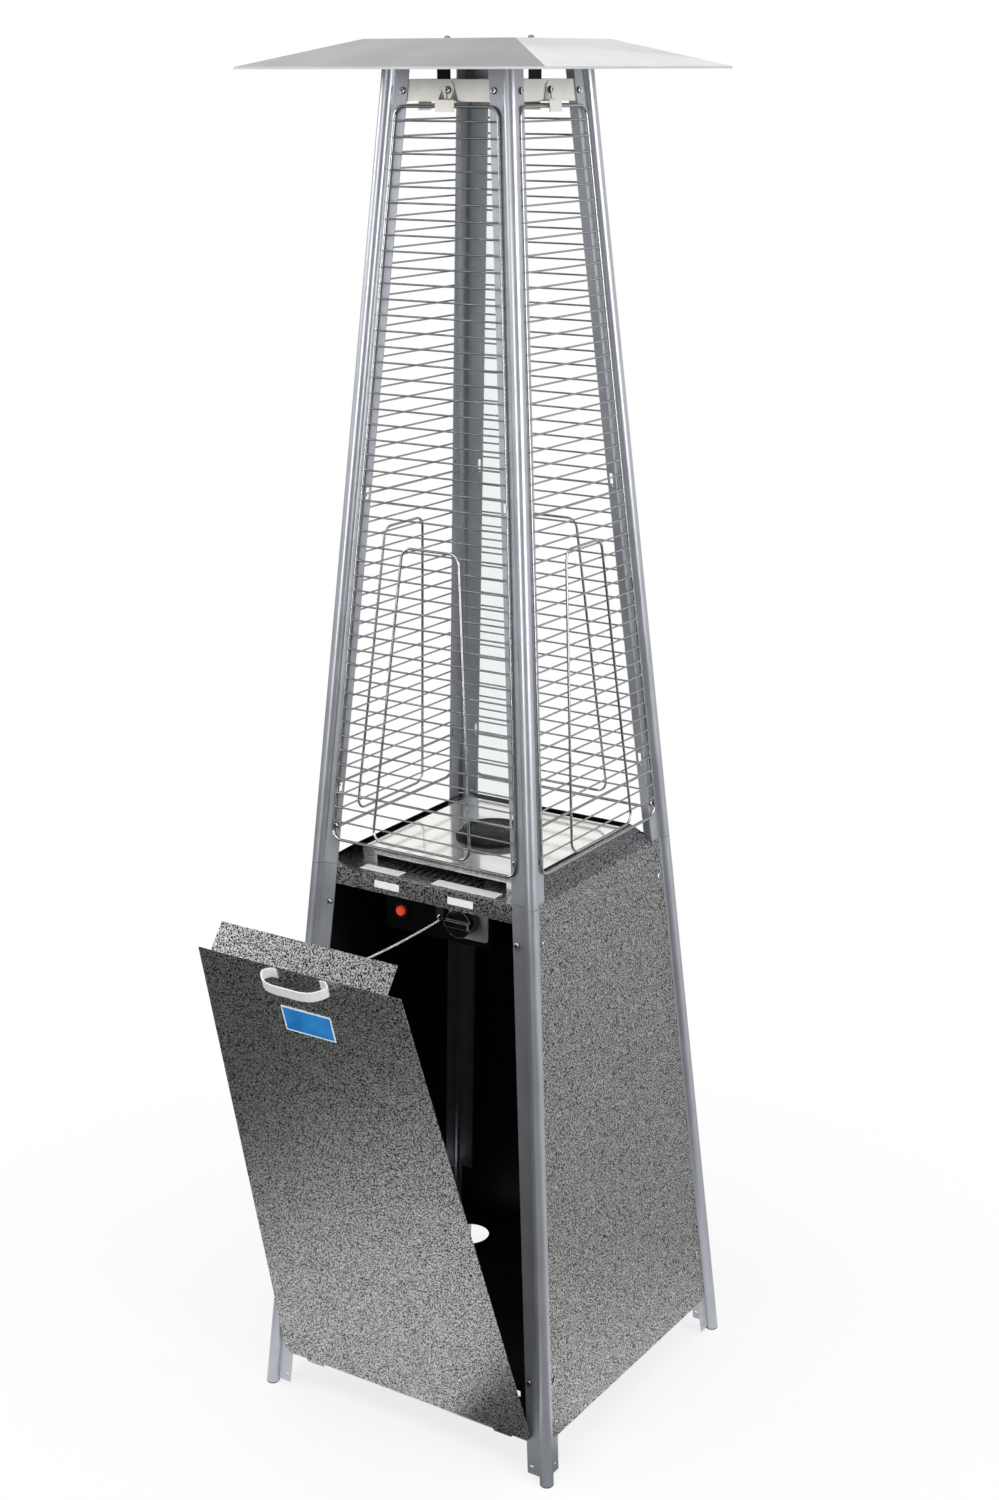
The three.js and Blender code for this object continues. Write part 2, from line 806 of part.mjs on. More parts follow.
// Wire grille: a frame, the rungs across it and two rods whose ends hook into the posts
function grille() {
    const half = (height) => {
        const share = (height - grilleBottomWire) / (grilleTopWire - grilleBottomWire);
        return corner(height) - grilleBottomInset + (grilleBottomInset - grilleTopInset) * share;
    };
    const low = grilleBottomWire - frameWire / 2;
    const high = grilleTopWire + frameWire / 2;
    const edge = frameWire / 2;
    const outline = roundedFrame(half(low) + edge, half(high) + edge, low, high,
        grilleCorner, cornerSteps);
    const rungs = rungHeights();
    const upper = [high - frameWire, ...rungs.map((height) => height - rungWire / 2)];
    const lower = [...rungs.map((height) => height + rungWire / 2), low + frameWire];
    const openings = upper.map((top, index) => {
        const bottom = lower[index];
        return [
            [-half(bottom) + edge, bottom],
            [half(bottom) - edge, bottom],
            [half(top) - edge, top],
            [-half(top) + edge, top],
        ];
    });
    const wires = facePlate(outline, grilleOffset, grilleThick, openings);
    const hooks = hookHeights().flatMap((height) => {
        const reach = corner(height) - hookInset;
        const bottom = height - hookWire / 2;
        const top = height + hookWire / 2;
        const rod = block([-reach, -grilleOffset - weld, bottom], [reach, -seat, top]);
        const ends = [-reach, reach].map((x) => (
            block([x - hookWire / 2, -grilleOffset - weld, bottom], [x + hookWire / 2, hookBend, top])));
        return [rod, ...ends].map(leanFront);
    });
    return joined(wires, ...hooks);
}

addAround(faceNames, 'grille', grille(), wireChrome);

// Stiffening loop on the lower part of each grille
function loop() {
    const wire = loopWire / 2;
    const ring = (grow, radius) => roundedFrame(loopHalfBottom + grow, loopHalfTop + grow,
        loopBottomWire - grow, loopTopWire + grow, radius, cornerSteps);
    return facePlate(ring(wire, loopCorner), grilleOffset + grilleThick + seat, loopThick,
        [ring(-wire, loopCorner - loopWire)]);
}

addAround(faceNames, 'grille_loop', loop(), wireChrome);

// Where the hood's brackets stand, and the bolts through their flanges
const barInner = (height) => corner(height) - sheet - seat - barSheet - seat - bracketSheet / 2;
const bracketUpright = barInner(bracketKnee) - bracketJog;
const bracketTop = totalHeight - hoodDrop - seat;
const boltX = bracketUpright - bracketFlange / 2;

function boltHole(x) {
    const low = bracketTop - bracketSheet - overrun;
    return roundBar(boltRadius + seat, low, totalHeight + overrun, boltSteps).translate(x, 0, 0);
}

// Hood: a flat-topped square pyramid of sheet, open below
function hood() {
    const lipLow = hoodRim - hoodLip;
    const shell = joined(
        taper(hoodRimHalf, hoodFlatHalf, hoodRim, totalHeight),
        block([-hoodRimHalf, -hoodRimHalf, lipLow], [hoodRimHalf, hoodRimHalf, hoodRim]));
    const inside = hoodRimHalf - hoodSheet;
    return cut(shell,
        taper(inside, hoodFlatHalf, hoodRim - hoodDrop, totalHeight - hoodDrop),
        block([-inside, -inside, lipLow - overrun], [inside, inside, hoodRim - hoodDrop]),
        boltHole(boltX),
        boltHole(-boltX));
}

add('hood', hood(), paleAlloy);

// Brackets that carry the hood on the side crossbars
function hoodBracket() {
    const hoodSeat = bracketTop - bracketSheet / 2;
    const footHeight = topPlateHeight + topPlateSheet + seat;
    const line = [
        [barInner(footHeight), footHeight],
        [barInner(bracketKnee), bracketKnee],
        [bracketUpright, bracketShoulder],
        [bracketUpright, hoodSeat],
        [bracketUpright - bracketFlange, hoodSeat],
    ];
    const folded = prism(strip(line, bracketSheet), bracketWidth)
        .rotateX(quarterTurn)
        .translate(0, bracketWidth / 2, 0);
    return cut(folded, boltHole(boltX));
}

// Bolts with their domed heads on the hood and their nuts under the flanges
function hoodBolt() {
    const nutTop = bracketTop - bracketSheet - seat;
    const nutLow = nutTop - boltNutTall;
    const headLow = totalHeight + seat;
    const crown = Array.from({ length: cornerSteps + 1 }, (unused, step) => {
        const angle = (step * quarterTurn) / cornerSteps;
        return [
            boltHead * Math.cos(angle),
            headLow + boltCollar + (boltCrown - boltCollar) * Math.sin(angle)];
    });
    crown[cornerSteps][0] = 0;
    return turned([
        [0, nutLow - boltTail],
        [boltRadius, nutLow - boltTail],
        [boltRadius, nutLow],
        [boltNut, nutLow],
        [boltNut, nutTop],
        [boltRadius, nutTop],
        [boltRadius, headLow],
        [boltHead, headLow],
        ...crown,
    ], boltSteps).translate(boltX, 0, 0);
}

[['right', 0], ['left', 2]].forEach(([name, turns]) => {
    add(`hood_bracket_${name}`, hoodBracket(), blackSteel).rotation.z = turns * quarterTurn;
    add(`hood_bolt_${name}`, hoodBolt(), brightSteel).rotation.z = turns * quarterTurn;
});

// Control box: a folded cover behind the door, hung under the control tray
function alongFront(geometry, x, y, height) {
    return geometry.rotateX(quarterTurn).translate(x, y, height);
}

// A turned piece whose axis points out of the front: its points are radius and distance outwards
function turnedOut(points, steps, x, height) {
    return turned(points, steps).rotateX(quarterTurn).translate(x, 0, height);
}

function controlBox() {
    const back = boxFront - boxDepth;
    const outer = block([-boxHalf, -boxFront, boxBottom], [boxHalf, -back, boxTop]);
    const inside = boxHalf - boxSheet;
    const inner = block(
        [-inside, boxSheet - boxFront, boxBottom - overrun],
        [inside, overrun - back, boxTop + overrun]);
    const hem = block([-boxHalf, -boxFront, boxBottom],
        [boxHalf, boxHem - boxFront, boxBottom + boxSheet]);
    const through = (radius) => roundBar(radius, boxFront - overrun, boxFront + overrun, smallSteps);
    const stemWay = alongFront(through(stemHole), valveX, 0, valveHeight);
    const igniterWay = alongFront(through(igniterHole), igniterX, 0, igniterHeight);
    return cut(joined(cut(outer, inner), hem), stemWay, igniterWay);
}

add('control_box', controlBox(), blackSteel);

// Gas valve with its inlet, stem and knob
const valveFace = boxFront - boxSheet - seat;
const valveBack = valveFace - valveLength;
const stemBore = stemRadius + boreWall;
const boreDepth = valveFace - stemDepth - knobTravel - runningGap;
add('gas_valve', turnedOut([
    [0, valveBack],
    [valveRadius, valveBack],
    [valveRadius, valveFace],
    [stemBore, valveFace],
    [stemBore, boreDepth],
    [0, boreDepth],
], valveSteps, valveX, valveHeight), brass);
const dialFace = boxFront + seat + dialSheet;
const knobBack = dialFace + knobTravel + runningGap;
const stemTip = boxFront + stemReach;
add('valve_stem', turnedOut([
    [0, valveFace - stemDepth],
    [stemRadius, valveFace - stemDepth],
    [stemRadius, stemTip],
    [0, stemTip],
], smallSteps, valveX, valveHeight), brightSteel);

function dialPlate() {
    const outline = roundedFrame(
        dialHalfWidth, dialHalfWidth, -dialHalfHeight, dialHalfHeight, dialCorner, cornerSteps);
    const plate = alongFront(prism(outline, dialSheet), valveX, -boxFront - seat, valveHeight);
    const opening = roundBar(stemHole, boxFront - overrun, dialFace + overrun, smallSteps);
    const way = alongFront(opening, valveX, 0, valveHeight);
    return cut(plate, way);
}

add('dial_plate', dialPlate(), paleAlloy);

// A round body whose front is cut back above and below a grip bar
function knob() {
    const front = knobBack + knobDeep;
    const body = turnedOut([
        [0, knobBack],
        [knobRadius, knobBack],
        [knobRadius, front - knobBevel],
        [knobRadius - knobBevel, front],
        [0, front],
    ], knobSteps, valveX, valveHeight);
    const half = knobRadius + overrun;
    const cutBack = (low, high) => block(
        [valveX - half, -front - overrun, valveHeight + low],
        [valveX + half, knobGripRise - front, valveHeight + high]);
    const socket = alongFront(
        roundBar(stemBore, knobBack - overrun, stemTip + seat, smallSteps), valveX, 0, valveHeight);
    return cut(body, cutBack(knobGripWidth / 2, half), cutBack(-half, -knobGripWidth / 2), socket);
}

add('control_knob', knob(), blackPlastic);

const valveMiddle = -(valveFace + valveBack) / 2;
const inletTop = valveHeight - valveRadius - seat;
add('gas_inlet', turned([
    [inletBore, inletTop - inletLength],
    [inletRadius, inletTop - inletLength],
    [inletRadius, inletTop - inletNutTall],
    [inletNut, inletTop - inletNutTall],
    [inletNut, inletTop],
    [inletBore, inletTop],
    [inletBore, inletTop - inletLength],
], smallSteps).translate(valveX, valveMiddle, 0), brass);

// Pipe from the valve to the jet under the mixing tube
function burnerPipe() {
    const jetTop = mixerFoot - seat;
    const drop = jetTop - jetLength;
    const route = new THREE.CatmullRomCurve3([
        new THREE.Vector3(valveX, -valveBack + seat, valveHeight),
        new THREE.Vector3(valveX, -valveBack / 2, valveHeight),
        new THREE.Vector3(valveX / 2, -pipeRadius, (valveHeight + drop) / 2),
        new THREE.Vector3(0, 0, drop),
    ]);
    const section = new THREE.Shape(Array.from({ length: pipeSides }, (unused, step) => {
        const angle = (step * 4 * quarterTurn) / pipeSides;
        return new THREE.Vector2(pipeRadius * Math.cos(angle), pipeRadius * Math.sin(angle));
    }));
    const pipe = new THREE.ExtrudeGeometry(section, { steps: pipeSteps, extrudePath: route });
    return joined(pipe, roundBar(jetRadius, drop - pipeRadius, jetTop, smallSteps));
}

add('burner_pipe', burnerPipe(), brass);

// Igniter and its button
add('igniter', turnedOut([
    [0, boxFront - igniterLength],
    [igniterRadius, boxFront - igniterLength],
    [igniterRadius, boxFront - boxSheet],
    [igniterNeck, boxFront - boxSheet],
    [igniterNeck, boxFront + seat],
    [bezelRadius, boxFront + seat],
    [bezelRadius, boxFront + bezelOut],
    [buttonRadius + boreWall, boxFront + bezelOut],
    [buttonRadius + boreWall, boxFront - buttonInside - buttonTravel - runningGap],
    [0, boxFront - buttonInside - buttonTravel - runningGap],
], smallSteps, igniterX, igniterHeight), blackPlastic);
add('igniter_button', turnedOut([
    [0, boxFront - buttonInside],
    [buttonRadius, boxFront - buttonInside],
    [buttonRadius, boxFront + buttonOut - buttonDome],
    [buttonRadius - buttonDome, boxFront + buttonOut],
    [0, boxFront + buttonOut],
], smallSteps, igniterX, igniterHeight), redPlastic);

// Door: modelled shut, then swung open about its hinge rod
const hingeY = -corner(hingeHeight) + hingeDepth;
const rodHalf = corner(hingeHeight) - sheet - seat;
const rod = roundBar(hingeRodRadius, -rodHalf, rodHalf, hingeSteps).rotateY(quarterTurn);
add('hinge_rod', rod.translate(0, hingeY, hingeHeight), brightSteel);

function doorPanel() {
    const halfLow = corner(doorBottom) - doorFootInset;
    const panel = panelPressing(halfLow, corner(panelBend) - doorTopInset, doorBottom, doorCorner);
    const bore = hingeRodRadius + runningGap;
    const sleeve = bore + knuckleWall;
    const knuckles = [-knuckleSpacing, knuckleSpacing].map((x) => roundBar(
        sleeve, -knuckleWidth / 2, knuckleWidth / 2, hingeSteps)
        .rotateY(quarterTurn).translate(x, hingeY, hingeHeight));
    const leaves = [-knuckleSpacing, knuckleSpacing].map((x) => {
        const half = knuckleWidth / 2;
        return leanFront(block(
            [x - half, -seat - weld, hingeHeight], [x + half, leafSheet - seat, doorBottom + leafRise]));
    });
    const bores = roundBar(bore, -knuckleSpacing - knuckleWidth, knuckleSpacing + knuckleWidth, hingeSteps)
        .rotateY(quarterTurn).translate(0, hingeY, hingeHeight);
    return cut(joined(panel, ...knuckles, ...leaves), bores);
}

// Where the chain meets the door's sloping band, with the door shut
const eyeAlong = bandLength - eyeInset;
const eyeOnDoor = new THREE.Vector3(
    chainDoorX,
    -corner(panelBend) - seat - panelSheet / 2 + eyeAlong * Math.cos(bandRise),
    panelBend - panelSheet / 2 + eyeAlong * Math.sin(bandRise));

// Bent strap handle, made flat on the shut door: across the door and outwards
function doorHandle() {
    const base = panelSheet + 2 * seat + handleSheet / 2;
    const half = [
        [handleFootHalf, base],
        [handleCornerHalf, handleCornerOut],
        [handleShoulderHalf, handleShoulderOut],
        [handleKneeHalf, handleKneeOut],
    ];
    const bow = new THREE.CatmullRomCurve3([
        ...half.map(([across, out]) => new THREE.Vector3(-across, out, 0)),
        new THREE.Vector3(0, handleMidOut, 0),
        ...half.toReversed().map(([across, out]) => new THREE.Vector3(across, out, 0)),
    ], false, 'centripetal');
    const line = [
        new THREE.Vector3(-handleToeHalf, base, 0),
        ...bow.getPoints(2 * handleSteps),
        new THREE.Vector3(handleToeHalf, base, 0),
    ].map((point) => [point.x + handleShift, -point.y]);
    const high = panelBend - handleDrop;
    const strap = prism(strip(line, handleSheet), handleWidth).translate(0, 0, high - handleWidth);
    return leanFront(strap);
}

const door = new THREE.Group();
const hinge = new THREE.Group();
hinge.position.set(0, hingeY, hingeHeight);
hinge.rotation.x = doorOpen;
door.position.set(0, -hingeY, -hingeHeight);
hinge.add(door);
heater.add(hinge);
add('door_panel', doorPanel(), hammertone, door);
add('door_handle', doorHandle(), brightSteel, door);

// Chain from the tray's eye to the door's eye, with the door open
function doorChain() {
    const inset = sheet + seat + spliceSheet + seat;
    const eyeHeight = trayTop - traySkirt - eyeDrop + eyeInset;
    const start = new THREE.Vector3(chainEyeX, -corner(eyeHeight) + inset + traySheet / 2, eyeHeight);
    const below = new THREE.Vector3(0, Math.sin(bandRise), -Math.cos(bandRise));
    const end = eyeOnDoor.clone()
        .addScaledVector(below, panelSheet / 2 + seat + chainRadius)
        .sub(hinge.position)
        .applyAxisAngle(new THREE.Vector3(1, 0, 0), doorOpen)
        .add(hinge.position);
    const along = end.clone().sub(start).normalize();
    start.addScaledVector(along, -chainTail);
    const middle = start.clone().add(end).multiplyScalar(1 / 2);
    middle.z -= chainSag;
    const section = new THREE.Shape(Array.from({ length: chainSides }, (unused, step) => {
        const angle = (step * 4 * quarterTurn) / chainSides;
        return new THREE.Vector2(chainRadius * Math.cos(angle), chainRadius * Math.sin(angle));
    }));
    const route = new THREE.CatmullRomCurve3([start, middle, end]);
    return new THREE.ExtrudeGeometry(section, { steps: chainSteps, extrudePath: route });
}

add('door_chain', doorChain(), brightSteel);

// The origin is at the middle of the whole heater's floor area, with the door open
heater.updateMatrixWorld(true);
const reach = new THREE.Box3().setFromObject(heater, true);
heater.position.y = -(reach.min.y + reach.max.y) / 2;

export default heater;
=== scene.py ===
import json
import math

import bmesh
import bpy
from mathutils import Matrix, Quaternion, Vector
from mathutils.bvhtree import BVHTree


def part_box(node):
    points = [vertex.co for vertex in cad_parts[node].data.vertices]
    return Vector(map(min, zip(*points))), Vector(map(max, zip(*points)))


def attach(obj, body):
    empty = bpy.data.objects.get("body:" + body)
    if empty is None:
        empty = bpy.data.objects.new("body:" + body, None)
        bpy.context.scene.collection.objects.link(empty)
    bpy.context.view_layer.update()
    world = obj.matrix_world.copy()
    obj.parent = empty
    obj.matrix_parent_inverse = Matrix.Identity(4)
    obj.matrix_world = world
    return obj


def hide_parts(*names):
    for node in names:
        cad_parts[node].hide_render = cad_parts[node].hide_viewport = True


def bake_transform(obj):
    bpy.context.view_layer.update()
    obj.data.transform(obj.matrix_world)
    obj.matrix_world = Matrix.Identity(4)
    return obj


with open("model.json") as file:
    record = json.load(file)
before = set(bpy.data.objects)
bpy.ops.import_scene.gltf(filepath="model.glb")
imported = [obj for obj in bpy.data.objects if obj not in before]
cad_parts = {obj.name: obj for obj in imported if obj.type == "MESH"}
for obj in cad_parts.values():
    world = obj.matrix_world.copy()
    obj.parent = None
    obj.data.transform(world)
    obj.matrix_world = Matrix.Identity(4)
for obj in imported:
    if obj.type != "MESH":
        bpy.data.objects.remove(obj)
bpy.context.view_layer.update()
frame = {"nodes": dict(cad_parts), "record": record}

cad = frame["nodes"]
record = frame["record"]
body_of = {node: body for body, members in record["behaviour"]["bodies"].items() for node in members}
slot_of = {part["node"]: part["material_slot"] for part in record["subparts"]}

mm = 0.001
quarter_turn = math.pi / 2
face_names = ("front", "right", "rear", "left")
corner_names = ("front_right", "rear_right", "rear_left", "front_left")

# Overall shape of the tower: its four faces lean in towards the top
tube_low, tube_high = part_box("flame_tube")
tower_y = (tube_low.y + tube_high.y) / 2
corner_at_ground = 286.5 * mm
corner_lean = 0.079956
door_swing = math.radians(20.9)
hinge_y = tower_y - 275.383 * mm
hinge_height = 64 * mm
tower_middle = Vector((0, tower_y, 0))


def corner(height):
    """Half the width of the tower at a height."""
    return corner_at_ground - corner_lean * height


def face_place(face, across, height, out=0.0):
    """Where a piece sits on a face of the tower: its X runs across, its Y up the face, its Z outwards."""
    side = Vector((1, 0, 0))
    up = Vector((0, corner_lean, 1)).normalized()
    away = side.cross(up)
    turned = Matrix((side, up, away)).transposed().to_4x4()
    place = Matrix.Translation((across, -corner(height) - out, height)) @ turned
    return Matrix.Translation(tower_middle) @ Matrix.Rotation(face * quarter_turn, 4, "Z") @ place


def on_face(face, across, height, out=0.0):
    """A point on a face of the tower."""
    return face_place(face, across, height, out).to_translation()


def door_place(across, height, out=0.0):
    """Where a piece sits on the open door, given by its place on the shut door."""
    hinge = Matrix.Translation((0, hinge_y, hinge_height))
    swing = hinge @ Matrix.Rotation(door_swing, 4, "X") @ hinge.inverted()
    return swing @ face_place(0, across, height, out)


def surface(node, start, toward):
    """The point and the direction of a CAD surface that a straight line meets first."""
    mesh = cad[node].data
    tree = BVHTree.FromPolygons(
        [vertex.co for vertex in mesh.vertices], [face.vertices[:] for face in mesh.polygons])
    point, normal, _, _ = tree.ray_cast(Vector(start), Vector(toward))
    if point is None:
        raise ValueError(f"nothing of {node} lies that way")
    return point, normal


def standing(point, normal, across=(1, 0, 0)):
    """A place on a surface: Z along its normal and X as near as can be to a given direction."""
    away = Vector(normal).normalized()
    side = (Vector(across) - away * away.dot(Vector(across))).normalized()
    turned = Matrix((side, away.cross(side), away)).transposed().to_4x4()
    return Matrix.Translation(point) @ turned


# Materials


def paint(red, green, blue):
    """A screen colour from 0 to 255, as the shader's own numbers."""
    def straight(value):
        share = value / 255
        return share / 12.92 if share <= 0.04045 else ((share + 0.055) / 1.055) ** 2.4
    return (straight(red), straight(green), straight(blue), 1.0)


# The unlit side of the room: its direction from the heater, the cosines of the angles from it where
# it begins and where it is full, and its level
dark_side = (0.82, -0.57, 0)
dark_side_edge = (0.72, 0.92)
dark_side_level = 0.08


class Signal:
    """A value in a material, so that shader maths reads as plain sums."""

    def __init__(self, finish, socket):
        self.finish = finish
        self.socket = socket

    def maths(self, operation, first, second):
        return self.finish.node("Math", {0: first, 1: second}, operation=operation)

    def __add__(self, other):
        return self.maths("ADD", self, other)

    def __rsub__(self, other):
        return self.maths("SUBTRACT", other, self)

    def __mul__(self, other):
        return self.maths("MULTIPLY", self, other)

    __radd__ = __add__
    __rmul__ = __mul__


class Finish:
    """One material and the nodes that make it."""

    def __init__(self, name, block=None):
        self.block = block or bpy.data.materials.new(name)
        self.block.use_nodes = True
        self.tree = self.block.node_tree
        self.tree.nodes.clear()

    def node(self, kind, sockets=None, output=0, **settings):
        """One node with its settings, then the values or links of its sockets."""
        made = self.tree.nodes.new("ShaderNode" + kind)
        for name, value in settings.items():
            setattr(made, name, value)
        for name, value in (sockets or {}).items():
            if isinstance(value, Signal):
                self.tree.links.new(value.socket, made.inputs[name])
            else:
                made.inputs[name].default_value = value
        return Signal(self, made.outputs[output])

    def noise(self, blotch, detail=2.0, rough=0.5, stretch=(1, 1, 1), shift=(0, 0, 0)):
        """A smooth random pattern whose blotches are about one size across, in metres."""
        place = self.node("TexCoord", output="Object")
        place = self.node("Mapping", {"Vector": place, "Scale": stretch, "Location": shift})
        return self.node("TexNoise", {
            "Vector": place, "Scale": 1 / blotch, "Detail": detail, "Roughness": rough}, "Fac")

    def spread(self, value, low, high, to_low=0.0, to_high=1.0):
        """A value stretched from one range to another, and held at its ends."""
        return self.node("MapRange", {
            "Value": value, "From Min": low, "From Max": high, "To Min": to_low, "To Max": to_high},
            interpolation_type="SMOOTHSTEP")

    def uneven(self, pattern, low=0.0, high=1.0):
        """A value that goes from one level to another with a random pattern."""
        return self.spread(pattern, 0.3, 0.7, low, high)

    def mix(self, first, second, share):
        return self.node("Mix", {0: share, 6: first, 7: second}, 2, data_type="RGBA")

    def along(self, place, direction):
        """How far a place lies in a direction."""
        return self.node("VectorMath", {0: place, 1: direction}, "Value", operation="DOT_PRODUCT")

    def lit_side(self, heading):
        """One all round the room, and less on the unlit side between the camera and the right."""
        return self.spread(self.along(heading, dark_side), *dark_side_edge, 1.0, dark_side_level)

    def seen(self):
        """One where the camera sees the surface itself."""
        return self.node("LightPath", output="Is Camera Ray")

    def mirrored(self):
        """One where metal or glass shows the surface."""
        return (self.node("LightPath", output="Is Glossy Ray")
                + self.node("LightPath", output="Is Transmission Ray"))

    def bump(self, height, strength, depth):
        return self.node("Bump", {"Height": height, "Strength": strength, "Distance": depth})

    def shader(self, **sockets):
        named = {name.replace("_", " "): value for name, value in sockets.items()}
        return self.node("BsdfPrincipled", named, "BSDF")

    def show(self, shader, kind="Material"):
        """The finished material, with this shader on its surface."""
        outlet = self.tree.nodes.new("ShaderNodeOutput" + kind)
        self.tree.links.new(shader.socket, outlet.inputs["Surface"])
        return self.block


def satin_paint():
    """Silver-grey paint on the posts, with fine metal flakes."""
    finish = Finish("satin_paint")
    cloud = finish.noise(60 * mm, 3)
    flake = finish.noise(0.7 * mm, 1)
    colour = finish.mix(paint(173, 176, 183), paint(193, 196, 202), cloud)
    colour = finish.mix(colour, paint(220, 223, 228), finish.spread(flake, 0.58, 0.75, 0.0, 0.3))
    return finish.show(finish.shader(
        Base_Color=colour, Metallic=0.7, Roughness=finish.uneven(cloud, 0.29, 0.36),
        Normal=finish.bump(flake, 0.03, 0.1 * mm)))


def hammered_paint():
    """Silver-grey hammered paint: bright flecks between small dark pits, whose dark is partly the paint's
    pattern and partly painted shade.
    """
    finish = Finish("hammered_paint")
    grain = finish.noise(2.4 * mm, 1.0, 0.4)
    second = finish.noise(1.6 * mm, 0.5, 0.4, shift=(0.37, 0.11, 0.73))
    fleck = finish.spread(grain * 0.6 + second * 0.4, 0.44, 0.56)
    colour = finish.mix(paint(34, 34, 35), paint(206, 206, 205), fleck)
    return finish.show(finish.shader(
        Base_Color=colour, Metallic=0.85, Roughness=0.36 - fleck * 0.08,
        Normal=finish.bump(grain, 0.5, 0.5 * mm)))


def dark_paint(name, tone, gloss, shine=0.25):
    """Thin dark paint over steel, a little uneven. As screw_shade it is painted shade on the screws' rims
    and recesses.
    """
    finish = Finish(name)
    cloud = finish.noise(35 * mm, 4)
    grit = finish.noise(0.9 * mm, 2)
    colour = finish.mix(paint(tone, tone, tone + 1), paint(tone + 12, tone + 12, tone + 13), cloud)
    return finish.show(finish.shader(
        Base_Color=colour, Specular_IOR_Level=shine,
        Roughness=finish.uneven(cloud, gloss, gloss + 0.1),
        Normal=finish.bump(grit, 0.12, 0.15 * mm)))


def sheet_steel(name, low, high, gloss, stretch=(1, 1, 1), patchy=0.12, metal=0.9):
    """Bright sheet steel with fine rolling marks along one direction."""
    finish = Finish(name)
    marks = finish.noise(3 * mm, 3, 0.6, stretch)
    cloud = finish.noise(50 * mm, 3)
    colour = finish.mix(low, high, finish.spread(cloud * 0.6 + marks * 0.4, 0.35, 0.65))
    return finish.show(finish.shader(
        Base_Color=colour, Metallic=metal, Roughness=finish.uneven(marks, gloss, gloss + patchy),
        Normal=finish.bump(marks, patchy * 0.7, 0.1 * mm)))


def plated_wire():
    """Bright plated wire, slightly dulled in patches."""
    finish = Finish("plated_wire")
    cloud = finish.noise(22 * mm, 3)
    colour = finish.mix(paint(168, 168, 169), paint(206, 206, 207), cloud)
    return finish.show(finish.shader(
        Base_Color=colour, Metallic=1.0, Roughness=finish.uneven(cloud, 0.16, 0.28)))


def hood_alloy():
    """Pale satin sheet of the hood."""
    finish = Finish("hood_alloy")
    marks = finish.noise(2 * mm, 3, 0.6, (1, 1, 6))
    cloud = finish.noise(90 * mm, 2)
    colour = finish.mix(paint(226, 227, 229), paint(236, 237, 239), finish.uneven(cloud))
    return finish.show(finish.shader(
        Base_Color=colour, Metallic=0.95, Roughness=finish.uneven(marks, 0.2, 0.24),
        Normal=finish.bump(marks, 0.03, 0.1 * mm)))


def clear_glass():
    """Clear heat-proof glass: see-through, with edges that show where the wall turns away."""
    finish = Finish("clear_glass")
    film = finish.noise(40 * mm, 3)
    through = finish.node("BsdfTransparent", {"Color": (0.98, 0.985, 0.985, 1.0)})
    gloss = finish.shader(
        Base_Color=paint(178, 186, 188), Metallic=0.0, Roughness=finish.uneven(film, 0.03, 0.07))
    turned = finish.node("LayerWeight", {"Blend": 0.3}, "Facing")
    share = finish.spread(turned, 0.3, 1.0, 0.02, 0.35) + film * 0.01
    return finish.show(finish.node("MixShader", {0: share, 1: through, 2: gloss}))


def glazed_ceramic():
    """Off-white glaze of the spark electrode."""
    finish = Finish("glazed_ceramic")
    cloud = finish.noise(6 * mm, 3)
    colour = finish.mix(paint(226, 222, 212), paint(240, 238, 230), cloud)
    return finish.show(finish.shader(
        Base_Color=colour, Roughness=finish.uneven(cloud, 0.18, 0.3)))


def machined_brass():
    """Turned brass of the gas fittings."""
    finish = Finish("machined_brass")
    rings = finish.noise(1.2 * mm, 2, 0.6, (1, 1, 5))
    cloud = finish.noise(12 * mm, 3)
    colour = finish.mix(paint(176, 146, 84), paint(214, 186, 120), cloud)
    return finish.show(finish.shader(
        Base_Color=colour, Metallic=1.0, Roughness=finish.uneven(rings, 0.24, 0.38),
        Normal=finish.bump(rings, 0.08, 0.05 * mm)))


def moulded_plastic(name, low, high, gloss, coat, glow=0.0):
    """Moulded plastic with a fine grain. A glow, where given, is painted light."""
    finish = Finish(name)
    grain = finish.noise(0.8 * mm, 2)
    cloud = finish.noise(15 * mm, 2)
    colour = finish.mix(low, high, cloud)
    return finish.show(finish.shader(
        Base_Color=colour, Roughness=finish.uneven(cloud, gloss, gloss + 0.08),
        Coat_Weight=coat, Emission_Color=colour, Emission_Strength=glow,
        Normal=finish.bump(grain, 0.05, 0.05 * mm)))


def bare_label():
    """White vinyl, left blank."""
    finish = Finish("bare_label")
    cloud = finish.noise(9 * mm, 3)
    fibre = finish.noise(0.6 * mm, 2)
    colour = finish.mix(paint(240, 240, 238), paint(250, 250, 249), cloud)
    return finish.show(finish.shader(
        Base_Color=colour, Roughness=finish.uneven(cloud, 0.38, 0.5),
        Normal=finish.bump(fibre, 0.08, 0.05 * mm)))


def badge_enamel():
    """Blue enamel of the door's blank badge."""
    finish = Finish("badge_enamel")
    cloud = finish.noise(30 * mm, 2)
    speck = finish.noise(0.7 * mm, 2)
    colour = finish.mix(paint(12, 100, 168), paint(24, 122, 190), finish.uneven(cloud))
    return finish.show(finish.shader(
        Base_Color=colour, Roughness=finish.uneven(cloud, 0.3, 0.38), Specular_IOR_Level=0.3,
        Normal=finish.bump(speck, 0.03, 0.05 * mm)))


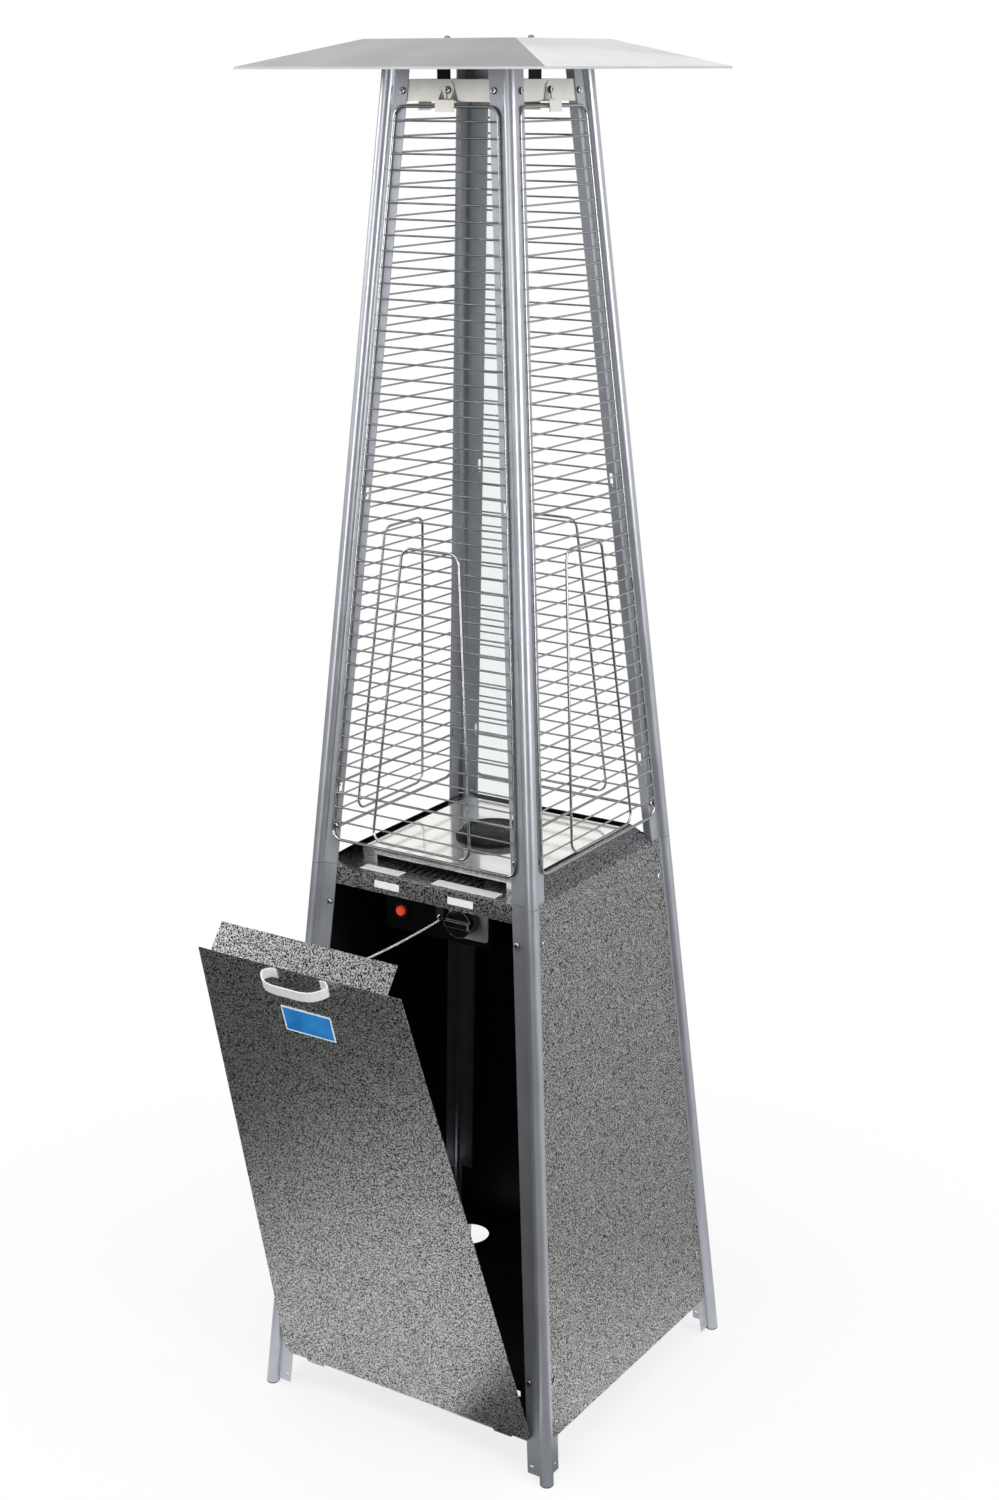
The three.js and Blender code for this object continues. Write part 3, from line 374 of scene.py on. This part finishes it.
# The finish of each material slot
finishes = {
    "post_paint": satin_paint(),
    "foot_rubber": moulded_plastic(
        "foot_rubber", paint(20, 20, 21), paint(34, 34, 35), gloss=0.62, coat=0.0),
    "black_steel": dark_paint("black_steel", tone=12, gloss=0.45),
    "hammertone": hammered_paint(),
    "bright_steel": sheet_steel(
        "bright_steel", paint(232, 229, 221), paint(248, 246, 240), gloss=0.27, stretch=(1, 1, 7)),
    "wire_chrome": plated_wire(),
    "clear_glass": clear_glass(),
    "ceramic": glazed_ceramic(),
    "pale_alloy": hood_alloy(),
    "brass": machined_brass(),
    "black_plastic": moulded_plastic(
        "black_plastic", paint(12, 12, 13), paint(22, 22, 23), gloss=0.2, coat=0.5),
    # The igniter button's red plastic glows a little: painted light, for the light that falls on it
    "red_plastic": moulded_plastic(
        "red_plastic", paint(242, 60, 38), paint(252, 80, 56), gloss=0.3, coat=0.3, glow=0.35),
}

# Finishes of single pieces
inward_dark = dark_paint("inward_dark", tone=12, gloss=0.55)
plate_steel = sheet_steel(
    "plate_steel", paint(244, 242, 237), paint(250, 249, 245), gloss=0.08, stretch=(0.4, 4, 4),
    patchy=0.04)
screw_plating = sheet_steel("screw_plating", paint(190, 191, 194), paint(240, 241, 243), gloss=0.12)
# Dark for the screws' rims, sides and cross recesses: painted shade
screw_shade = dark_paint("screw_shade", tone=14, gloss=0.4)
bolt_plating = sheet_steel("bolt_plating", paint(96, 97, 100), paint(150, 151, 154), gloss=0.2)
handle_steel = sheet_steel(
    "handle_steel", paint(240, 239, 236), paint(250, 249, 247), gloss=0.42, stretch=(1, 1, 3),
    metal=0.45)
chain_plating = sheet_steel("chain_plating", paint(226, 226, 222), paint(244, 243, 240), gloss=0.1)
dial_silver = sheet_steel(
    "dial_silver", paint(214, 215, 217), paint(230, 231, 233), gloss=0.5, stretch=(1, 1, 5))
scorched_steel = dark_paint("scorched_steel", tone=22, gloss=0.6)
box_coat = dark_paint("box_coat", tone=3, gloss=0.5, shine=0.08)
# Lighter grey plastic for the knob's rounded edges: a painted highlight
knob_painted_highlight = moulded_plastic("knob_painted_highlight", paint(84, 85, 88), paint(150, 151, 154), gloss=0.2, coat=0.5)
badge_border = moulded_plastic(
    "badge_border", paint(206, 226, 238), paint(226, 240, 248), gloss=0.3, coat=0.3)
label_white = bare_label()
badge_blue = badge_enamel()

# Making pieces
facing_up = 0.9


def new_object(name, data):
    """A new object in the scene, with a given mesh, curve, light or camera."""
    made = bpy.data.objects.new(name, data)
    bpy.context.scene.collection.objects.link(made)
    return made


def placed_copy(name, model, place):
    """A copy of a piece in another place, with its own mesh."""
    copy = new_object(name, model.data.copy())
    copy.data.transform(place)
    return copy


def pick(*pieces):
    """Selects only these pieces, with the first one active."""
    bpy.ops.object.select_all(action="DESELECT")
    for piece in pieces:
        piece.select_set(True)
    bpy.context.view_layer.objects.active = pieces[0]


def apply_modifier(piece, kind, **settings):
    pick(piece)
    modifier = piece.modifiers.new(kind.lower(), kind)
    for name, value in settings.items():
        setattr(modifier, name, value)
    bpy.ops.object.modifier_apply(modifier=modifier.name)


def smooth(piece, degrees):
    """Shades a piece smooth, with sharp edges where it bends more than an angle."""
    pick(piece)
    bpy.ops.object.shade_smooth_by_angle(angle=math.radians(degrees))


def settle(piece, place=None):
    """Puts a piece in its place with its object left at the origin."""
    piece.data.transform((place or Matrix.Identity(4)) @ piece.matrix_world)
    piece.matrix_world = Matrix.Identity(4)
    return piece


def join(name, pieces):
    """One piece of several."""
    pick(*pieces)
    if len(pieces) > 1:
        bpy.ops.object.join()
    pieces[0].name = name
    pieces[0].data.name = name
    return pieces[0]


def finish_piece(piece, body, slot, *materials):
    """Gives a piece its body and its materials, or else the finish of its slot."""
    chosen = [face.material_index for face in piece.data.polygons]
    piece.data.materials.clear()
    for material in materials or (finishes[slot],):
        piece.data.materials.append(material)
    piece.data.polygons.foreach_set("material_index", chosen)
    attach(piece, body)


def rounded(corners, radius, steps=6, closed=True):
    """The route of a bent wire, from its corners, each turned into an arc."""
    route = []
    last = len(corners) - 1
    for index, place in enumerate(corners):
        if not closed and index in (0, last):
            route.append(place)
            continue
        before = (corners[index - 1] - place).normalized()
        after = (corners[(index + 1) % len(corners)] - place).normalized()
        half_angle = before.angle(after) / 2
        reach = radius / math.tan(half_angle)
        centre = place + (before + after).normalized() * (radius / math.sin(half_angle))
        start = place + before * reach - centre
        end = place + after * reach - centre
        axis = start.cross(end).normalized()
        sweep = start.angle(end)
        for step in range(steps + 1):
            turned = start.copy()
            turned.rotate(Quaternion(axis, sweep * step / steps))
            route.append(centre + turned)
    return route


def wires(name, routes, radius, roundness=2, closed=False):
    """Round wires along lists of points, as one mesh."""
    curve = bpy.data.curves.new(name, "CURVE")
    curve.dimensions = "3D"
    curve.bevel_depth = radius
    curve.bevel_resolution = roundness
    curve.use_fill_caps = True
    for route in routes:
        spline = curve.splines.new("POLY")
        spline.points.add(len(route) - 1)
        for point, place in zip(spline.points, route):
            point.co = (*place, 1.0)
        spline.use_cyclic_u = closed
    piece = new_object(name, curve)
    pick(piece)
    bpy.ops.object.convert(target="MESH")
    smooth(piece, degrees=50)
    return piece


def smooth_copy(node, *materials, degrees=32):
    """A CAD piece with its round faces shaded smooth, in place of the faceted one."""
    piece = new_object(f"{node}_skin", cad[node].data.copy())
    pick(piece)
    bpy.ops.object.mode_set(mode="EDIT")
    bpy.ops.mesh.select_all(action="SELECT")
    bpy.ops.mesh.remove_doubles(threshold=0.01 * mm)
    bpy.ops.mesh.dissolve_limited(angle_limit=math.radians(0.4))
    bpy.ops.object.mode_set(mode="OBJECT")
    smooth(piece, degrees)
    apply_modifier(piece, "WEIGHTED_NORMAL", keep_sharp=True)
    finish_piece(piece, body_of[node], slot_of[node], *materials)
    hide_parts(node)
    return piece


# Screws: pan heads with a cross recess, each turned a little further than the last, in radians
head_radius = 5.2 * mm
head_height = 3.2 * mm
head_dome = 0.62 * head_height
head_bright_height = 0.6 * head_height
head_bright_normal = 0.55
recess_long = 5.6 * mm
recess_wide = 1.5 * mm
recess_deep = 2 * mm
turn_between_screws = 0.7


def pan_head():
    """The head of one screw, standing on the origin and facing up."""
    bpy.ops.object.select_all(action="DESELECT")
    bpy.ops.mesh.primitive_cylinder_add(
        vertices=20, radius=head_radius, depth=head_height, location=(0, 0, head_height / 2))
    head = bpy.context.active_object
    bpy.ops.object.mode_set(mode="EDIT")
    bpy.ops.mesh.select_all(action="DESELECT")
    shape = bmesh.from_edit_mesh(head.data)
    for face in shape.faces:
        face.select_set(face.normal.z > facing_up)
    shape.select_flush_mode()
    bmesh.update_edit_mesh(head.data)
    bpy.ops.mesh.bevel(offset=head_dome, segments=4, profile=0.5, affect="EDGES")
    bpy.ops.object.mode_set(mode="OBJECT")
    bars = []
    for size in ((recess_long, recess_wide), (recess_wide, recess_long)):
        bpy.ops.object.select_all(action="DESELECT")
        bpy.ops.mesh.primitive_cube_add(
            size=1, location=(0, 0, head_height), scale=(*size, 2 * recess_deep))
        bars.append(bpy.context.active_object)
    for bar in bars:
        apply_modifier(head, "BOOLEAN", object=bar, operation="DIFFERENCE", solver="EXACT")
    for bar in bars:
        bpy.data.objects.remove(bar)
    settle(head)
    smooth(head, degrees=30)
    head.data.materials.append(screw_plating)
    head.data.materials.append(screw_shade)
    # The top of each dome keeps the bright plating, and the rest of the head gets painted shade
    for face in head.data.polygons:
        bright = face.normal.z > head_bright_normal and face.center.z > head_bright_height
        face.material_index = 0 if bright else 1
    return head


def screws(name, body, places, size=1.0):
    """A set of screws, each a copy of one head."""
    model = pan_head()
    made = []
    for index, place in enumerate(places):
        turned = place @ Matrix.Rotation(turn_between_screws * index, 4, "Z")
        made.append(placed_copy(f"{name}_{index}", model, turned @ Matrix.Scale(size, 4)))
    bpy.data.objects.remove(model)
    finish_piece(join(name, made), body, "bright_steel", screw_plating, screw_shade)


def rounded_plate(width, height, thickness, radius, place, rim=0.0, recess=0.0):
    """A small plate with round corners. A rim can stand proud of its middle, as a second material."""
    bpy.ops.object.select_all(action="DESELECT")
    bpy.ops.mesh.primitive_cube_add(
        size=1, location=(0, 0, thickness / 2), scale=(width, height, thickness))
    plate = bpy.context.active_object
    bpy.ops.object.transform_apply(location=True, rotation=True, scale=True)
    bpy.ops.object.mode_set(mode="EDIT")
    bpy.ops.mesh.select_all(action="DESELECT")
    shape = bmesh.from_edit_mesh(plate.data)
    for edge in shape.edges:
        edge.select_set(abs(edge.verts[0].co.z - edge.verts[1].co.z) > thickness / 2)
    bmesh.update_edit_mesh(plate.data)
    bpy.ops.mesh.bevel(offset=radius, segments=6, affect="EDGES")
    bpy.ops.mesh.select_all(action="DESELECT")
    shape = bmesh.from_edit_mesh(plate.data)
    for face in shape.faces:
        face.select_set(face.normal.z > facing_up)
    bmesh.update_edit_mesh(plate.data)
    if rim:
        bpy.ops.mesh.inset(thickness=rim)
        bpy.ops.mesh.extrude_region_move(TRANSFORM_OT_translate={"value": (0, 0, -recess)})
        shape = bmesh.from_edit_mesh(plate.data)
        for face in shape.faces:
            face.material_index = 0 if face.select else 1
        bmesh.update_edit_mesh(plate.data)
    bpy.ops.object.mode_set(mode="OBJECT")
    smooth(plate, degrees=30)
    return settle(plate, place)


# Posts, plugs and other solids that only need smooth shading and their finish
plain_solids = [
    *(f"lower_post_{name}" for name in corner_names),
    *(f"upper_post_{name}" for name in corner_names),
    *(f"foot_plug_{name}" for name in corner_names),
    *(f"crossbar_{name}" for name in face_names),
    *(f"grille_clip_{name}" for name in face_names),
    "base_shelf", "tube_collar", "flame_tube", "mixing_tube", "spark_electrode",
    "tube_top_plate", "hood", "hood_bracket_right", "hood_bracket_left", "gas_valve", "valve_stem",
    "gas_inlet", "burner_pipe", "igniter", "igniter_button", "hinge_rod",
]
for node in plain_solids:
    smooth_copy(node)
smooth_copy("burner_plate", plate_steel)
smooth_copy("control_box", box_coat)
smooth_copy("dial_plate", dial_silver)
smooth_copy("door_handle", handle_steel)
for name in ("right", "left"):
    smooth_copy(f"hood_bolt_{name}", bolt_plating, degrees=40)

# Control knob: its rounded edges get a lighter grey plastic, a painted highlight
knob_highlight_width = 0.7 * mm
knob = smooth_copy("control_knob", finishes["black_plastic"], knob_painted_highlight)
apply_modifier(
    knob, "BEVEL", width=knob_highlight_width, segments=3, material=1, limit_method="ANGLE",
    angle_limit=math.radians(40))

# Cabinet panels
inner_face_normal = -0.3


def panel_skin(node, outward):
    """A cabinet panel: hammered paint outside, and dark on the faces that look inwards."""
    piece = smooth_copy(node, finishes["hammertone"], inward_dark)
    for face in piece.data.polygons:
        inside = face.normal.dot(Vector(outward)) < inner_face_normal
        face.material_index = 1 if inside else 0


panel_skin("side_panel_right", (1, 0, 0.3))
panel_skin("side_panel_rear", (0, 1, 0.3))
panel_skin("side_panel_left", (-1, 0, 0.3))
panel_skin("door_panel", (0, -1, 0.1))

# Control tray: hammered paint, and dark on the tab that holds the chain
tray_lip = 936.8 * mm
tray = smooth_copy("control_tray", finishes["hammertone"], inward_dark)
shape = bmesh.new()
shape.from_mesh(tray.data)
bmesh.ops.bisect_plane(
    shape, geom=[*shape.verts, *shape.edges, *shape.faces], plane_co=(0, 0, tray_lip), plane_no=(0, 0, 1))
shape.to_mesh(tray.data)
shape.free()
apply_modifier(tray, "WEIGHTED_NORMAL", keep_sharp=True)
for face in tray.data.polygons:
    face.material_index = 1 if face.center.z < tray_lip else 0

# Burner head: its flame ports stand in rings, each given by its radius and its number of ports
port_radius = 1.8 * mm
port_depth = 5 * mm
port_rings = ((32 * mm, 28), (22 * mm, 18), (11 * mm, 9))


def burner_head():
    """The burner head with its flame ports cut in."""
    piece = smooth_copy("burner_head", scorched_steel)
    low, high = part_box("burner_head")
    centre = (low + high) / 2
    cutters = []
    for ring, count in port_rings:
        for index in range(count):
            angle = 2 * math.pi * index / count
            bpy.ops.object.select_all(action="DESELECT")
            bpy.ops.mesh.primitive_cylinder_add(
                vertices=8, radius=port_radius, depth=2 * port_depth,
                location=(centre.x + ring * math.cos(angle), centre.y + ring * math.sin(angle), high.z))
            cutters.append(bpy.context.active_object)
    cutter = join("ports", cutters)
    apply_modifier(piece, "BOOLEAN", object=cutter, operation="DIFFERENCE", solver="EXACT")
    bpy.data.objects.remove(cutter)


burner_head()

# Wire grilles: a bent frame, the rungs across it and two rods that hook into the posts
grille_bottom = 1015 * mm
grille_top = 2173 * mm
grille_inset_bottom = 25 * mm
grille_inset_top = 20 * mm
grille_corner = 16 * mm
rim_wire = 2.5 * mm
rim_out = 3.6 * mm
rung_wire = 1.5 * mm
rung_out = 4.5 * mm
rung_overhang = 3.2 * mm
rung_count = 47
first_rung = grille_top - 21 * mm
last_rung = grille_bottom + 30.7 * mm
hook_rungs = (24, 44)
hook_wire = 1.5 * mm
hook_out = 1.7 * mm
hook_inset = 30 * mm
hook_bend = 8 * mm
hook_corner = 3 * mm


def grille_half(height):
    """Half the width of a grille's frame at a height."""
    share = (height - grille_bottom) / (grille_top - grille_bottom)
    inset = grille_inset_bottom + (grille_inset_top - grille_inset_bottom) * share
    return corner(height) - inset


def wire_grille(face, name):
    """One grille: its frame, its rungs and its two hook rods."""
    rim_corners = [
        on_face(face, side * grille_half(height), height, rim_out)
        for side, height in ((-1, grille_bottom), (1, grille_bottom), (1, grille_top), (-1, grille_top))]
    rim = wires(f"{name}_rim", [rounded(rim_corners, grille_corner)], rim_wire, roundness=4, closed=True)
    pitch = (first_rung - last_rung) / (rung_count - 1)
    heights = [first_rung - index * pitch for index in range(rung_count)]
    routes = []
    for height in heights:
        reach = grille_half(height) + rung_overhang
        routes.append([on_face(face, side * reach, height, rung_out) for side in (-1, 1)])
    rungs = wires(f"{name}_rungs", routes, rung_wire)
    routes = []
    for index in hook_rungs:
        height = heights[index]
        reach = corner(height) - hook_inset
        ends = [(-reach, -hook_bend), (-reach, hook_out), (reach, hook_out), (reach, -hook_bend)]
        corners = [on_face(face, across, height, out) for across, out in ends]
        routes.append(rounded(corners, hook_corner, steps=4, closed=False))
    hooks = wires(f"{name}_hooks", routes, hook_wire)
    piece = join(f"{name}_wires", [rim, rungs, hooks])
    finish_piece(piece, body_of[name], "wire_chrome")
    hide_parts(name)


# Stiffening loops on the lower part of the grilles
loop_bottom = grille_bottom + 12 * mm
loop_top = loop_bottom + 482 * mm
loop_half_bottom = 95 * mm
loop_half_top = 53 * mm
loop_corner = 18 * mm
loop_wire = 2.1 * mm
loop_out = 8.1 * mm


def wire_loop(face, name):
    """The stiffening loop of one grille."""
    corners = [on_face(face, across, height, loop_out) for across, height in (
        (-loop_half_bottom, loop_bottom), (loop_half_bottom, loop_bottom),
        (loop_half_top, loop_top), (-loop_half_top, loop_top))]
    piece = wires(f"{name}_wire", [rounded(corners, loop_corner)], loop_wire, roundness=4, closed=True)
    finish_piece(piece, body_of[name], "wire_chrome")
    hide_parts(name)


for face, name in enumerate(face_names):
    wire_grille(face, f"grille_{name}")
    wire_loop(face, f"grille_loop_{name}")

# Door chain: links from the tray's eye to the door's sloping band
chain_start = tower_middle + Vector((33, -208.5, 915)) * mm
chain_middle = tower_middle + Vector((67.34, -358.54, 936.04)) * mm
chain_end = tower_middle + Vector((102.0, -509.84, 962.77)) * mm
link_pitch = 6.0 * mm
link_half = 2.1 * mm
link_bend = 1.6 * mm
link_bend_steps = 5
link_wire = 0.75 * mm
# Each stretch of the chain ends at a share of its length, and has two shares for its turn with the door,
# from one to another, so that the chain stays behind the shut door and in front of the knob; this script
# doesn't read them
chain_stretches = ((0.12, -0.04, 0.638), (0.6, -0.2365, 1.2745), (1.0, 0.1041, 1.0))
ring_middle = tower_middle + Vector((33, -206.8, 919)) * mm
ring_radius = 4.4 * mm
ring_slant = 0.55
ring_wire = 0.8 * mm
ring_steps = 20


def chain_point(share):
    """A point of the slightly slack chain."""
    return (chain_start * (1 - share) * (1 - 2 * share) + chain_middle * 4 * share * (1 - share)
            + chain_end * share * (2 * share - 1))


def chain_heading(share):
    """The direction in which the chain runs there."""
    near = 0.01
    return (chain_point(share + near) - chain_point(share - near)).normalized()


def one_link():
    """One closed link, lying flat at the origin along X."""
    route = []
    for side in (1, -1):
        for step in range(link_bend_steps + 1):
            angle = side * quarter_turn - math.pi * step / link_bend_steps
            route.append(Vector((
                side * link_half + link_bend * math.cos(angle), link_bend * math.sin(angle), 0)))
    return wires("link", [route], link_wire, roundness=1, closed=True)


def links_by_stretch():
    """The links of each stretch of the chain, every other link turned a quarter round it."""
    model = one_link()
    length = (chain_middle - chain_start).length + (chain_end - chain_middle).length
    count = round(length / link_pitch)
    links = [[] for stretch in chain_stretches]
    for index in range(count):
        share = (index + 0.5) / count
        place = standing(chain_point(share), chain_heading(share), (0, 0, 1))
        twist = Matrix.Rotation(quarter_turn * (index % 2), 4, "Z")
        endways = Matrix.Rotation(quarter_turn, 4, "Y")
        stretch = sum(share > last for last, _, _ in chain_stretches)
        links[stretch].append(placed_copy(f"link_{index}", model, place @ twist @ endways))
    bpy.data.objects.remove(model)
    return links


def chain_ring():
    """The ring that holds the chain in the eye of the tray's tab."""
    route = []
    for step in range(ring_steps):
        turn = 2 * math.pi * step / ring_steps
        across = ring_radius * math.cos(turn)
        route.append(ring_middle + Vector((across * ring_slant, across, ring_radius * math.sin(turn))))
    ring = wires("door_chain_ring", [route], ring_wire, closed=True)
    finish_piece(ring, "heater", "bright_steel", chain_plating)


for number, (links, (_, first, last)) in enumerate(zip(links_by_stretch(), chain_stretches)):
    piece = join(f"door_chain_links_{number + 1}", links)
    piece.data.materials.clear()
    piece.data.materials.append(chain_plating)
    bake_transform(piece)
    if number == 0:
        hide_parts("door_chain")
chain_ring()

# Screws in the posts and the clips
post_screw_inset = 29 * mm
lower_screw_heights = (904.6 * mm, 169.2 * mm)
upper_screw_heights = (1036.5 * mm, 2195.7 * mm)
post_screw_places = [
    face_place(face, side * (corner(height) - post_screw_inset), height)
    for face in range(len(face_names)) for side in (-1, 1)
    for height in (*lower_screw_heights, *upper_screw_heights)]
screws("post_screws", "heater", post_screw_places)

clip_screw_height = 2199 * mm
clip_screw_out = 30 * mm
clip_sheet = 1.5 * mm
clip_play = 0.6 * mm
clip_screw_size = 1.05
clip_screw_places = []
for face, name in enumerate(face_names):
    start = face_place(face, 0, clip_screw_height, clip_screw_out)
    away = start.to_3x3() @ Vector((0, 0, 1))
    point, _ = surface(f"crossbar_{name}", start.to_translation(), -away)
    point += away * (clip_sheet + clip_play)
    clip_screw_places.append(Matrix.Translation(point) @ start.to_3x3().to_4x4())
screws("clip_screws", "heater", clip_screw_places, clip_screw_size)

# Badge on the door, left blank
badge_width = 95 * mm
badge_height = 46.5 * mm
badge_thickness = 1.2 * mm
badge_corner = 5 * mm
badge_rim = 2 * mm
badge_recess = 0.25 * mm
badge_across = -1.8 * mm
badge_up = 870.7 * mm
badge_out = 1.25 * mm
badge = rounded_plate(
    badge_width, badge_height, badge_thickness, badge_corner,
    door_place(badge_across, badge_up, badge_out), rim=badge_rim, recess=badge_recess)
badge.name = "door_badge"
finish_piece(badge, "door", "pale_alloy", badge_blue, badge_border)

# Labels on the control tray and its skirt, left blank
label_thickness = 0.25 * mm
label_corner = 0.8 * mm
before_skirt = -300 * mm
skirt_label_width = 49 * mm
skirt_label_height = 12 * mm
skirt_label_up = 951.5 * mm
above_tray = 975 * mm
# The width and depth of each label on top of the tray, and where its middle lies across and
# along from the tower's middle
tray_label_places = (
    (78 * mm, 22 * mm, -99 * mm, -181 * mm),
    (124 * mm, 24 * mm, 67 * mm, -181 * mm))


def blank_label(width, height, start, toward):
    """A blank label where a straight line first meets the control tray."""
    point, normal = surface("control_tray", start, toward)
    return rounded_plate(width, height, label_thickness, label_corner, standing(point, normal))


skirt_labels = [
    blank_label(skirt_label_width, skirt_label_height, (across, before_skirt, skirt_label_up), (0, 1, 0))
    for across in (-73 * mm, 72 * mm)]
finish_piece(join("skirt_labels", skirt_labels), "heater", "pale_alloy", label_white)

tray_labels = [
    blank_label(width, depth, tower_middle + Vector((across, along, above_tray)), (0, 0, -1))
    for width, depth, across, along in tray_label_places]
finish_piece(join("tray_labels", tray_labels), "heater", "pale_alloy", label_white)

# Floor, backdrop and lights
white_light = (1, 1, 1, 1)
soft_light = (0.96, 0.98, 1, 1)
soft_light_level = 0.44
floor_size = 60
floor_drop = 0.3 * mm
toward_front_left = (-0.75, -0.66, 0)


def ground():
    """A pale floor: white where it is seen, and uneven where posts and panels mirror it."""
    bpy.ops.object.select_all(action="DESELECT")
    bpy.ops.mesh.primitive_plane_add(size=floor_size, location=(0, 0, -floor_drop))
    floor = bpy.context.active_object
    floor.name = "studio_floor"
    finish = Finish("studio_floor")
    seen = finish.seen()
    mirrored = finish.mirrored()
    place = finish.node("TexCoord", output="Object")
    distance = finish.node("VectorMath", {0: place}, "Value", operation="LENGTH")
    heading = finish.node("VectorMath", {0: place}, "Vector", operation="NORMALIZE")
    grain = finish.noise(40 * mm, 3)
    cloth = finish.shader(
        Base_Color=finish.mix(paint(232, 232, 232), paint(238, 238, 238), grain), Roughness=0.9)
    # The mirrored floor is bright round the heater's feet, darkens towards the front left and rises
    # again far away
    near = finish.spread(distance, 0.35, 1.0, 0.95, 0.0)
    behind = finish.spread(finish.along(place, toward_front_left), -0.9, 0.2, 0.5, 0.05)
    away = finish.spread(distance, 3.5, 12.0, 0.0, 0.36)
    level = seen + mirrored * finish.lit_side(heading) * (
        near + behind * (1 - near) * (1 - away) + away)
    glow = finish.node("Emission", {"Color": white_light, "Strength": level})
    # Close to the heater the seen floor keeps a share of its shadow
    share = seen * finish.spread(distance, 0.3, 1.6, 0.8, 1.0) + mirrored
    floor.data.materials.append(finish.show(finish.node("MixShader", {0: share, 1: cloth, 2: glow})))


def backdrop():
    """White where it is seen. Mirrored, it is white low down and grey higher up."""
    world = bpy.data.worlds.new("studio")
    bpy.context.scene.world = world
    finish = Finish("studio", world)
    seen = finish.seen()
    mirrored = finish.mirrored()
    direction = finish.node("TexCoord", output="Generated")
    height = finish.node("SeparateXYZ", {0: direction}, "Z")
    horizon = finish.spread(height, 0.0, 0.1, 0.7, 1.0)
    overhead = finish.spread(height, 0.38, 0.46, 1.0, 0.2)
    level = seen + mirrored * finish.lit_side(direction) * horizon * overhead
    white = finish.node("Background", {"Color": white_light, "Strength": level})
    soft = finish.node("Background", {"Color": soft_light, "Strength": soft_light_level})
    finish.show(finish.node("MixShader", {0: seen + mirrored, 1: soft, 2: white}), "World")


def lamp(name, place, target_height, size, power):
    """A soft box that faces a point straight above the origin."""
    light = bpy.data.lights.new(name, "AREA")
    light.shape = "RECTANGLE"
    light.size = size[0]
    light.size_y = size[1]
    light.energy = power
    holder = new_object(name, light)
    holder.location = place
    toward = Vector((0, 0, target_height)) - Vector(place)
    holder.rotation_euler = toward.to_track_quat("-Z", "Y").to_euler()


# The place of each lamp, the height of the point that it faces, its size and its power
lamps = {
    "right_lamp": ((3.4, -0.6, 2.2), 1.1, (1.6, 2.6), 75),
    "top_lamp": ((0.3, -0.9, 4.6), 1.1, (3.6, 3.6), 115),
    "left_lamp": ((-3.6, -1.8, 3.0), 1.1, (1.6, 1.6), 45),
    "front_lamp": ((-0.3, -4.2, 1.5), 0.9, (0.5, 1.6), 34),
}
ground()
backdrop()
for name, settings in lamps.items():
    lamp(name, *settings)

# Camera, fitted to the heater's edges
view_place = tower_middle + Vector((1.9748, -2.9813, 2.2301))
view_turn = math.radians(32.65)
view_tilt = math.radians(16.927)
view_roll = math.radians(-0.106)
view_focal_length = 53.915
view_sensor_width = 36
view_shift = -0.0175


def view_camera():
    """The camera, at the place and with the lens of the picture that the heater is matched to."""
    lens = bpy.data.cameras.new("view")
    lens.lens = view_focal_length
    lens.sensor_width = view_sensor_width
    lens.shift_x = view_shift
    lens.clip_end = 100
    camera = new_object("view", lens)
    camera.matrix_world = (
        Matrix.Translation(view_place) @ Matrix.Rotation(view_turn, 4, "Z")
        @ Matrix.Rotation(quarter_turn - view_tilt, 4, "X") @ Matrix.Rotation(view_roll, 4, "Z"))
    bpy.context.scene.camera = camera


view_camera()
bpy.context.scene.view_settings.view_transform = "Standard"
